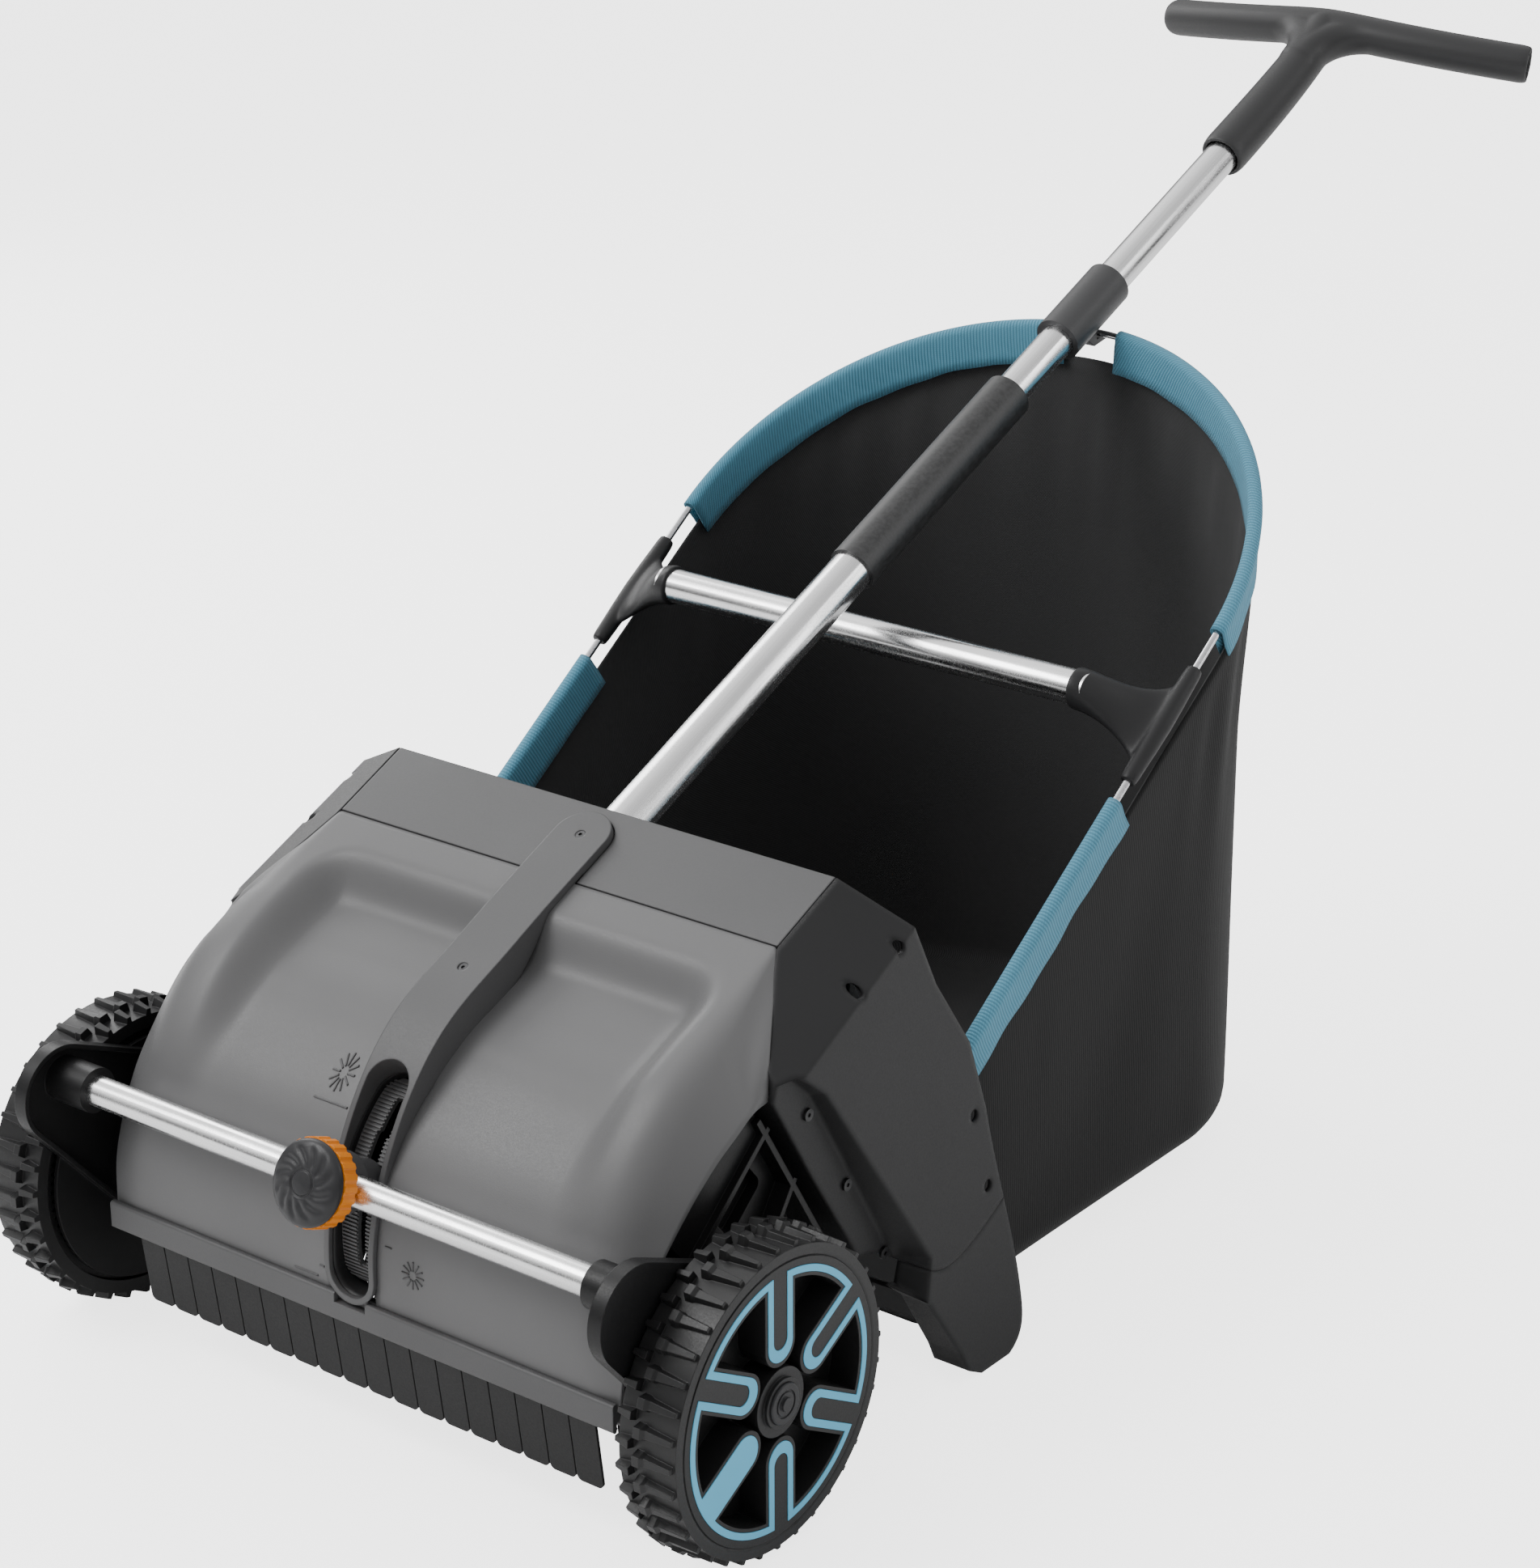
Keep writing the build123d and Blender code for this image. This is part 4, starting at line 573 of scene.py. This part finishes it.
def make_slot_liner(grid):
    """Walls of the height slot between the shell and the ribbed rack beneath it."""
    middle = grid[:, grid.shape[1] // 2, 1:] - BRUSH_SHAFT
    turn = np.degrees(np.arctan2(middle[:, 1], middle[:, 0])) % 360
    reach = np.hypot(middle[:, 0], middle[:, 1])
    rows = []
    for share in np.linspace(0, 1, 4):
        row = []
        for x, angle, aside in slot_outline():
            surface = np.interp(angle + math.degrees(math.atan2(aside, 115)), turn[::-1], reach[::-1])
            radius = RACK_RADIUS + (surface - 1.0 - RACK_RADIUS) * share
            out = np.array([math.cos(math.radians(angle)), math.sin(math.radians(angle))])
            tangent = np.array([-out[1], out[0]])
            row.append((x, *(BRUSH_SHAFT + out * radius + tangent * aside)))
        rows.append(row)
    rows = np.array(rows)
    centre = rows[0].mean(axis=0)
    if np.sum(grid_normals(rows)[0, 5] * (centre - rows[0, 5])) < 0:
        rows = rows[:, ::-1]
    liner = sheet("slot_liner", rows, 1.3, slot_material["trim_dark"], flat_uv(rows))
    attach(liner, "chassis", "frame_black")


def make_front_shell():
    grid = shell_grid()
    make_slot_liner(grid)
    shell = sheet("front_shell_skin", grid, SHELL_WALL, slot_material["shell_grey"], flat_uv(grid))
    cutter = slot_cutter()
    modifier(shell, "BOOLEAN", object=cutter, operation="DIFFERENCE", solver="EXACT")
    apply_modifiers(shell)
    bpy.data.objects.remove(cutter)
    make_marks(grid)
    attach(shell, "chassis", "shell_grey", "front_shell")


def on_face(grid, normals, x, height):
    """The point of the shell's outer face at an X and a height, with the normal there."""
    heights = np.array([np.interp(x, row[:, 0], row[:, 2]) for row in grid])
    way = np.interp(height, heights, np.linspace(0, 1, len(grid))) * (len(grid) - 1)
    low = min(int(way), len(grid) - 2)
    near, far = (np.array([x, np.interp(x, row[:, 0], row[:, 1]), np.interp(x, row[:, 0], row[:, 2])])
                 for row in (grid[low], grid[low + 1]))
    column = int(np.argmin(abs(grid[low, :, 0] - x)))
    return near + (far - near) * (way - low), normals[low, column]


def mark_bars():
    """Start and end of every raised bar: plain ticks, and rays round two centres."""
    bars = [((-58, 210), (-30, 210)), ((-28, 214), (-24, 214)), ((-28, 186), (-24, 186)),
            ((-50, 108), (-30, 108)), ((-28, 116), (-24, 116)), ((27, 146), (32, 146))]
    for x, height in ((-46, 224), (50, 134)):
        for angle in range(0, 360, 30):
            ray = (math.sin(math.radians(angle)), math.cos(math.radians(angle)))
            bars.append([(x + reach * ray[0], height + reach * ray[1]) for reach in (3, 9)])
    return bars


def make_marks(grid):
    """Low raised guide marks beside the height slot."""
    half_bar, sunk, raised = 0.7, -0.4, 0.7
    normals = grid_normals(grid)
    points, faces = [], []
    for start, end in mark_bars():
        along = np.array([end[0] - start[0], end[1] - start[1]], float)
        side = np.array([-along[1], along[0]]) / np.linalg.norm(along) * half_bar
        first = len(points)
        for lift, narrow in ((sunk, 1.0), (raised, 0.6)):
            for place, way in ((start, narrow), (end, narrow), (end, -narrow), (start, -narrow)):
                point, normal = on_face(grid, normals, place[0] + side[0] * way, place[1] + side[1] * way)
                points.append(point + normal * lift)
        faces.append(tuple(first + corner for corner in (4, 5, 6, 7)))
        for corner in range(4):
            here, there = first + corner, first + (corner + 1) % 4
            faces.append((here, there, there + 4, here + 4))
    # The marks take the darker cover_grey as painted shade: it stands for the shadows along the relief
    # lines.
    marks = new_piece("shell_marks", points, faces, slot_material["cover_grey"])
    face_outwards(marks)
    marks.data.set_sharp_from_angle(angle=math.radians(30))
    attach(marks, "chassis", "shell_grey")


# ---------------------------------------------------------------- basket
BAG_HALF, BAG_FRONT, BAG_BACK, BAG_FLOOR = 226.0, 236.0, 551.0, 26.0
BAG_DEPTH = BAG_HALF * math.cos(RIM_SLOPE)
CLOTH_DROP = 17.0                       # the cloth's top edge hangs this far under the rim rod
CLOTH_ROUND = 16.0                      # radius between the cloth's wall and its floor
BAND_GAP = 432.0                        # the lower bands end here, the upper ones start at BAG_BACK


def rim_height(behind):
    return 328.0 + (behind - BAND_GAP) * math.tan(RIM_SLOPE)


def bag_plan(inset, stations):
    """Plan points at shares of the way from the right front round the back to the left front."""
    half, depth = BAG_HALF - inset, BAG_DEPTH - inset
    turn = np.linspace(0, math.pi, 361)
    x = np.concatenate(([BAG_HALF], BAG_HALF * np.cos(turn), [-BAG_HALF]))
    y = np.concatenate(([BAG_FRONT], BAG_BACK + BAG_DEPTH * np.sin(turn), [BAG_FRONT]))
    way = lengths(np.column_stack((x, y)))
    x *= half / BAG_HALF
    y = np.where(y > BAG_BACK, BAG_BACK + (y - BAG_BACK) * depth / BAG_DEPTH, y)
    return np.column_stack((np.interp(stations, way / way[-1], x), np.interp(stations, way / way[-1], y)))


def bag_grid():
    """The basket cloth from its top edge down the wall and in across the floor."""
    stations = np.linspace(0, 1, 151)
    plan = bag_plan(0, stations)
    top = rim_height(plan[:, 1]) - CLOTH_DROP / math.cos(RIM_SLOPE)
    rows = []
    for share in np.linspace(0, 1, 46):
        height = top + (BAG_FLOOR + CLOTH_ROUND - top) * share
        rows.append(np.column_stack((plan, height)))
    for angle in np.radians(np.linspace(15, 90, 6)):
        inset = CLOTH_ROUND * (1 - math.cos(angle))
        height = BAG_FLOOR + CLOTH_ROUND * (1 - math.sin(angle))
        rows.append(np.column_stack((bag_plan(inset, stations), np.full(len(stations), height))))
    for inset in (28, 44, 64, 88, 114, 142, 172, 200, 225):
        plan_inset = min(inset, 184)
        line = bag_plan(plan_inset, stations)
        line[:, 0] *= (BAG_HALF - inset) / (BAG_HALF - plan_inset)
        rows.append(np.column_stack((line, np.full(len(stations), BAG_FLOOR))))
    return np.array(rows)


def slack(grid):
    """Soft folds of the cloth wall: shallow standing waves that fade towards the rim and the floor."""
    random.seed(7)
    normal = grid_normals(grid)
    rows, columns = grid.shape[:2]
    down = np.linspace(0, 1, rows)[:, None]
    round_way = np.linspace(0, 1, columns)[None, :]
    wave = np.zeros((rows, columns))
    for count, size in ((4, 0.8), (7, 0.5), (11, 0.25)):
        lean, phase = random.uniform(-1.5, 1.5), random.uniform(0, 6.28)
        wave += size * np.sin(2 * math.pi * (count * round_way + lean * down) + phase)
    fade = ease(down / 0.25) * ease((0.8 - down) / 0.25)
    return grid + normal * (wave * fade)[:, :, None]


def hang(grid, frames, limit):
    """Lets the cloth sag on its rim and front edges; no point moves further than the limit in mm."""
    rows, columns = grid.shape[:2]
    index = np.arange(rows * columns).reshape(rows, columns)
    faces = np.stack((index[:-1, :-1], index[:-1, 1:], index[1:, 1:], index[1:, :-1]), axis=2)
    cloth = new_piece("cloth_trial", grid.reshape(-1, 3), faces.reshape(-1, 4).tolist(),
                      slot_material["bag_fabric"])
    pins = cloth.vertex_groups.new(name="pins")
    held = np.concatenate((index[0], index[1], index[:, 0], index[:, -1], index[-1]))
    pins.add([int(point) for point in set(held.tolist())], 1.0, "REPLACE")
    cloth_modifier = modifier(cloth, "CLOTH")
    settings = cloth_modifier.settings
    settings.quality = 5
    settings.mass = 0.25
    settings.tension_stiffness = settings.compression_stiffness = 30
    settings.bending_stiffness = 0.4
    settings.vertex_group_mass = "pins"
    settings.uniform_pressure_force = 1.2
    settings.use_pressure = True
    scene = bpy.context.scene
    for frame_number in range(1, frames + 1):
        scene.frame_set(frame_number)
    solved = cloth.evaluated_get(bpy.context.evaluated_depsgraph_get())
    flat = np.zeros(rows * columns * 3, np.float32)
    solved.data.vertices.foreach_get("co", flat)
    moved = flat.reshape(rows, columns, 3) * 1000.0 - np.array([0, AXLE_Y * 1000, 0])
    scene.frame_set(1)
    bpy.data.objects.remove(cloth)
    shift = moved - grid
    far = np.linalg.norm(shift, axis=2, keepdims=True)
    return grid + shift * (limit * np.tanh(far / limit) / np.maximum(far, 1e-6))


def make_basket_cloth():
    grid = slack(bag_grid())
    grid = hang(grid, 16, 6.0)
    cloth = sheet("basket_cloth", grid, 1.6, slot_material["bag_fabric"], flat_uv(grid))
    attach(cloth, "basket", "bag_fabric", "basket_fabric")


def rim_line(stations):
    """Points of the rim rod's centre line, with the outward and downward directions at each."""
    plan = bag_plan(0, stations)
    line = np.column_stack((plan, rim_height(plan[:, 1])))
    tangent = np.gradient(line, axis=0)
    tangent /= np.linalg.norm(tangent, axis=1, keepdims=True)
    outward = np.cross(tangent, (0, 0, 1))
    outward /= np.linalg.norm(outward, axis=1, keepdims=True)
    down = np.cross(tangent, outward)
    down *= -np.sign(down[:, 2:3])
    return line, outward, down


def make_band(name, first, last):
    """Webbing folded over the rim rod: sewn to the cloth outside and inside."""
    stations = np.linspace(first, last, max(24, int(abs(last - first) * 240)))
    line, outward, down = rim_line(stations)
    section = [(1.4, 24), (1.5, 19), (1.9, 13), (2.9, 7), (3.6, 3)]
    for angle in np.radians(range(0, 181, 20)):
        section.append((4.0 * math.cos(angle), -4.0 * math.sin(angle)))
    section += [(-4.1, 4), (-4.3, 9), (-4.0, 14), (-3.9, 19), (-4.0, 26)]
    random.seed(name)
    phase = random.uniform(0, 6)
    wander = 0.5 * np.sin(stations * 95 + phase) + 0.35 * np.sin(stations * 213 + 2 * phase)
    rows = []
    for out, drop in section:
        sway = wander * max(0.0, drop) / 24
        rows.append(line + outward * (out + sway * 0.6)[:, None] + down * (drop + sway)[:, None])
    grid = np.array(rows)[::-1]
    band = sheet(name + "_webbing", grid, 1.2, slot_material["band_blue"], flat_uv(grid))
    attach(band, "basket", "band_blue", name)


def share_at(behind):
    """How far round the rim, from 0 at the right front, its right side reaches this depth."""
    whole = lengths(bag_plan(0, np.linspace(0, 1, 721)))[-1]
    return (behind - BAG_FRONT) / whole


def make_bands():
    lower, upper = share_at(BAND_GAP), share_at(BAG_BACK)
    middle_gap = 24.0 / (BAG_HALF * 2 * 2.9)
    make_band("lower_band_right", 0.0, lower)
    make_band("upper_band_right", upper, 0.5 - middle_gap)
    make_band("upper_band_left", 0.5 + middle_gap, 1 - upper)
    make_band("lower_band_left", 1 - lower, 1.0)


# ---------------------------------------------------------------- cross tube connectors
def connector_branch(along, normal, turn):
    """A flat flare that widens from the end of the cross tube to the rim rod."""
    tube_centre = np.array([0, 466.7, 385.1])
    rim_centre = np.array([0, 485.0, rim_height(485.0)])
    rings = []
    for share in np.linspace(0, 1, 20):
        centre = tube_centre + (rim_centre - tube_centre) * ease(share) + np.array([171 + 55 * share, 0, 0])
        long_r = 14.4 + 24 * share ** 2.8
        flat_r = 14.4 - 8.6 * ease(share * 1.05)
        rings.append([centre + along * long_r * math.cos(t) + normal * flat_r * math.sin(t) for t in turn])
    return rings


def connector_sleeve(normal, turn):
    """A slim sleeve round the rim rod, thickest in its middle."""
    rings = []
    for share, radius in ((0, 5.4), (0.05, 6.0), (0.12, 6.2), (0.3, 6.8), (0.5, 7.2), (0.7, 6.8),
                          (0.88, 6.2), (0.95, 6.0), (1, 5.4)):
        behind = 446.0 + 79.0 * share
        centre = np.array([BAG_HALF, behind, rim_height(behind)])
        rings.append([centre + np.array([1, 0, 0]) * radius * math.cos(t) + normal * radius * math.sin(t)
                      for t in turn])
    return rings


def make_t_connector(side):
    """A flared branch that grows out of a slim sleeve on the rim rod and takes the cross tube."""
    mirror = np.array([1 if side == "right" else -1, 1, 1])
    along = np.array([0, math.cos(RIM_SLOPE), math.sin(RIM_SLOPE)])
    normal = np.array([0, -math.sin(RIM_SLOPE), math.cos(RIM_SLOPE)])
    turn = np.linspace(0, 2 * math.pi, 33)[:-1]
    lofts = []
    for rings in (connector_branch(along, normal, turn), connector_sleeve(normal, turn)):
        lofts.append(closed_loft([[point * mirror for point in ring] for ring in rings]))
    piece = moulding("t_connector_body_" + side, lofts, slot_material["trim_dark"], 0.0011, 8)
    attach(piece, "basket", "trim_dark", "t_connector_" + side)


# ---------------------------------------------------------------- T-grip
GRIP_HALF = 156.0
POLE_END = np.array([0, 1049.0, 703.0])         # middle of the grip in the CAD
STEM_LENGTH = 161.0
GRIP_RISE = 9.0                                 # the moulded bar's middle stands this much higher
POLE_AXIS = np.array([0, math.cos(POLE_SLOPE), math.sin(POLE_SLOPE)])


def round_loft(path, profile):
    """A closed solid of round sections; the profile lists (path index, radius) from end to end."""
    path = np.array(path)
    tangent = np.gradient(path, axis=0)
    tangent /= np.linalg.norm(tangent, axis=1, keepdims=True)
    rings = []
    for index, radius in profile:
        first = np.cross(tangent[index], (0.0, 0.6, 1.0))
        first /= np.linalg.norm(first)
        second = np.cross(tangent[index], first)
        rings.append([path[index] + radius * (first * math.cos(t) + second * math.sin(t))
                      for t in np.linspace(0, 2 * math.pi, 41)[:-1]])
    return closed_loft(rings)


def grip_bar():
    """The bent cross bar with an open bore in each end."""
    count = 79
    x = np.linspace(-GRIP_HALF, GRIP_HALF, count)
    out = (np.sqrt(x**2 + 400) - 20) / GRIP_HALF
    behind = POLE_END[1] + 33 * np.abs(x / GRIP_HALF) ** 1.75
    path = np.column_stack((x, behind, POLE_END[2] + GRIP_RISE - 17 * out))
    bore = [(10, 9.8), (0, 10.6), (0, 13.3), (1, 14.2)]
    middle = [(index, 14.3) for index in range(2, count - 2)]
    return round_loft(path, bore + middle + [(count - 1 - index, radius) for index, radius in bore[::-1]])


def grip_stem():
    """The stem round the upper pole; it rises to meet the bar."""
    count = 41
    share = np.linspace(0, 1, count)
    path = POLE_END - POLE_AXIS * (STEM_LENGTH * (1 - share))[:, None]
    path[:, 2] += GRIP_RISE * share ** 3
    mouth = [(4, 13.2), (0, 13.6), (0, 16.4), (1, 17.2)]
    return round_loft(path, mouth + [(index, 17.6 - 2.6 * share[index] ** 2) for index in range(2, count)])


def grip_bend(side):
    """A bent web that carries the stem over into one half of the bar."""
    top = POLE_END + np.array([0, 0, 8])
    start = top - POLE_AXIS * 46 + np.array([side * 1.0, 0, -2])
    corner = top - POLE_AXIS * 3 + np.array([side * 1.0, 0, 0])
    end = top + np.array([side * 44.0, 3, -2])
    path = [(1 - t)**2 * start + 2 * t * (1 - t) * corner + t**2 * end for t in np.linspace(0, 1, 25)]
    return round_loft(path, [(index, 14.8 - 0.06 * index) for index in range(25)])


def make_grip():
    lofts = (grip_bar(), grip_stem(), grip_bend(-1), grip_bend(1))
    grip = moulding("t_grip_moulding", lofts, grip_dark, 0.0012, 14)
    attach(grip, "chassis", "trim_dark", "t_grip")


# ---------------------------------------------------------------- height knob
KNOB_REACH = 148.2                      # from the brush shaft to the knob's base
KNOB_ANGLE = math.radians(158)
KNOB_PROFILE = [(0, 5), (17.8, 5), (17.8, 11.3), (26.2, 11.3), (27.0, 12.2), (27.0, 13.6), (26.2, 15.2),
                (24.6, 16.6), (22.4, 17.5), (20.5, 18.0), (18.5, 18.4), (16.5, 18.7), (14.5, 18.9),
                (12.5, 19.1), (10.8, 19.2), (9.6, 19.2), (8.8, 18.5), (7.9, 18.5), (7.2, 19.3),
                (4.5, 19.7), (0, 19.9)]
FLUTES = 12


def flute_depth(radius, height, angle):
    """How deep the curved flutes of the dome are at a radius and an angle."""
    if height <= 16:
        return 0.0
    twist = angle + 0.5 * (radius - 10) / 12
    wave = (0.5 + 0.5 * math.cos(FLUTES * twist)) ** 2
    return wave * float(ease((radius - 10.2) / 3)) * float(ease((24.0 - radius) / 4))


def make_knob_cap():
    """Domed cap with twelve shallow flutes round a small raised centre."""
    out = np.array([0, math.cos(KNOB_ANGLE), math.sin(KNOB_ANGLE)])
    up = np.array([0, -out[2], out[1]])
    across = np.array([1.0, 0, 0])
    base = np.array([0, *BRUSH_SHAFT]) + KNOB_REACH * out
    rings = []
    for radius, height in KNOB_PROFILE:
        rings.append([base + across * radius * math.cos(angle) + up * radius * math.sin(angle)
                      + out * (height - flute_depth(radius, height, angle))
                      for angle in np.linspace(0, 2 * math.pi, 145)[:-1]])
    points, faces = closed_loft(rings)
    cap = new_piece("knob_cap_dome", points, faces, slot_material["knob_grey"])
    cap.data.set_sharp_from_angle(angle=math.radians(40))
    attach(cap, "knob", "knob_grey", "knob_cap")


# ---------------------------------------------------------------- brush tufts
TUFT_ROWS, TUFTS, STRANDS = 6, 58, 8
TUFT_HALF = 178.0                       # the first and last tuft stand this far from the middle
BRISTLE_REACH = 94.0


def strand(x, angle, lean, tip):
    """Points of one three-sided bristle from the core out to its tip."""
    points = []
    for radius, width in ((23, 0.75), (58, 0.65), (tip, 0.4)):
        turn = angle + lean * (radius / BRISTLE_REACH) ** 2
        for about in np.radians((0, 120, 240)):
            across = turn + width * math.cos(about) / radius
            points.append((x + width * math.sin(about), BRUSH_SHAFT[0] + radius * math.cos(across),
                           BRUSH_SHAFT[1] + radius * math.sin(across)))
    return points


def make_tufts():
    """Bristles in tufts along the rows of the brush core."""
    random.seed(11)
    points, faces = [], []
    for row in range(TUFT_ROWS):
        for tuft in range(TUFTS):
            for _ in range(STRANDS):
                x = -TUFT_HALF + tuft * 2 * TUFT_HALF / (TUFTS - 1) + random.uniform(-2.2, 2.2)
                angle = math.radians(60 * row) + random.uniform(-0.1, 0.1)
                lean = random.uniform(-0.06, 0.06)
                first = len(points)
                points += strand(x, angle, lean, random.uniform(91.5, 93.8))
                for level in (0, 3):
                    for corner in range(3):
                        here, there = first + level + corner, first + level + (corner + 1) % 3
                        faces.append((here, there, there + 3, here + 3))
                faces.append((first + 6, first + 7, first + 8))
    tufts = new_piece("brush_tufts", points, faces, slot_material["bristle"])
    attach(tufts, "brush", "bristle", "brush_bristles")


make_front_shell()
make_basket_cloth()
make_bands()
make_tufts()
make_t_connector("left")
make_t_connector("right")
make_knob_cap()
make_grip()


# ---------------------------------------------------------------- floor, light and camera
def paper_floor():
    look = Look("studio_floor")
    grain = look.noise(40, 4, 0.6)
    shade = look.mix(grain, (0.9, 0.9, 0.9), (0.93, 0.93, 0.93))
    material = look.finish(colour=shade, rough=0.9, gloss=0.1)
    seen = look.node("ShaderNodeLightPath").outputs["Is Camera Ray"]
    look.link((1.0, 1.0, 1.0, 1.0), look.shader.inputs["Emission Color"])
    look.link(look.math("MULTIPLY_ADD", seen, 2.6, 0.12), look.shader.inputs["Emission Strength"])
    bpy.ops.mesh.primitive_plane_add(size=40, location=(0, 0, -0.0005))
    floor = bpy.context.object
    floor.name = "studio_floor"
    floor.data.materials.append(material)


def soft_light(name, place, aim, size, power):
    data = bpy.data.lights.new(name, "AREA")
    data.shape = "RECTANGLE"
    data.size, data.size_y = size
    data.energy = power
    light = bpy.data.objects.new(name, data)
    bpy.context.scene.collection.objects.link(light)
    light.location = place
    light.rotation_euler = (Vector(aim) - Vector(place)).to_track_quat("-Z", "Y").to_euler()


def sky_fade(tree, source, low, high, start, end):
    """A smooth step of a world shader's value from start to end."""
    made = tree.nodes.new("ShaderNodeMapRange")
    made.interpolation_type = "SMOOTHSTEP"
    for key, value in (("From Min", low), ("From Max", high), ("To Min", start), ("To Max", end)):
        made.inputs[key].default_value = value
    tree.links.new(source, made.inputs["Value"])
    return made.outputs["Result"]


def soft_sky():
    """A white surround: dim at eye level, bright above and to the left; seen directly it is pale."""
    world = bpy.data.worlds.new("studio_world")
    bpy.context.scene.world = world
    world.use_nodes = True
    tree = world.node_tree
    split = tree.nodes.new("ShaderNodeSeparateXYZ")
    tree.links.new(tree.nodes.new("ShaderNodeTexCoord").outputs["Generated"], split.inputs[0])
    light = tree.nodes.new("ShaderNodeMath")
    light.operation = "MULTIPLY"
    tree.links.new(sky_fade(tree, split.outputs["Z"], 0.1, 0.55, 0.12, 1.15), light.inputs[0])
    tree.links.new(sky_fade(tree, split.outputs["X"], -0.9, 0.5, 1.25, 0.6), light.inputs[1])
    shown = tree.nodes.new("ShaderNodeMix")
    shown.inputs["B"].default_value = 3.3
    tree.links.new(tree.nodes.new("ShaderNodeLightPath").outputs["Is Camera Ray"], shown.inputs["Factor"])
    tree.links.new(light.outputs[0], shown.inputs["A"])
    background = tree.nodes["Background"]
    background.inputs["Color"].default_value = (1, 1, 1, 1)
    tree.links.new(shown.outputs["Result"], background.inputs["Strength"])


def studio():
    """Soft light from above and from the front left."""
    soft_sky()
    soft_light("key", (-1.3, -1.7, 2.4), (0, -0.2, 0.25), (1.4, 1.4), 42)
    soft_light("edge_left", (-2.3, 0.7, 1.5), (0, 0, 0.35), (0.7, 2.2), 22)
    soft_light("edge_right", (2.2, 1.3, 1.4), (0, 0, 0.3), (0.7, 2.0), 12)


def photo_camera():
    """Looks down at the sweeper's front and its right side from a little way off."""
    azimuth, elevation = math.radians(37.447), math.radians(21.813)
    back = Vector((math.sin(azimuth) * math.cos(elevation),
                   -math.cos(azimuth) * math.cos(elevation), math.sin(elevation)))
    data = bpy.data.cameras.new("camera")
    data.sensor_width = 36
    data.lens = 91.1
    data.shift_x = -0.0244
    data.shift_y = 0.0047
    data.clip_end = 100
    camera = bpy.data.objects.new("camera", data)
    bpy.context.scene.collection.objects.link(camera)
    camera.location = (1.5254, AXLE_Y - 1.5934, 1.2955)
    camera.rotation_euler = (-back).to_track_quat("-Z", "Y").to_euler()
    bpy.context.scene.camera = camera


paper_floor()
studio()
photo_camera()
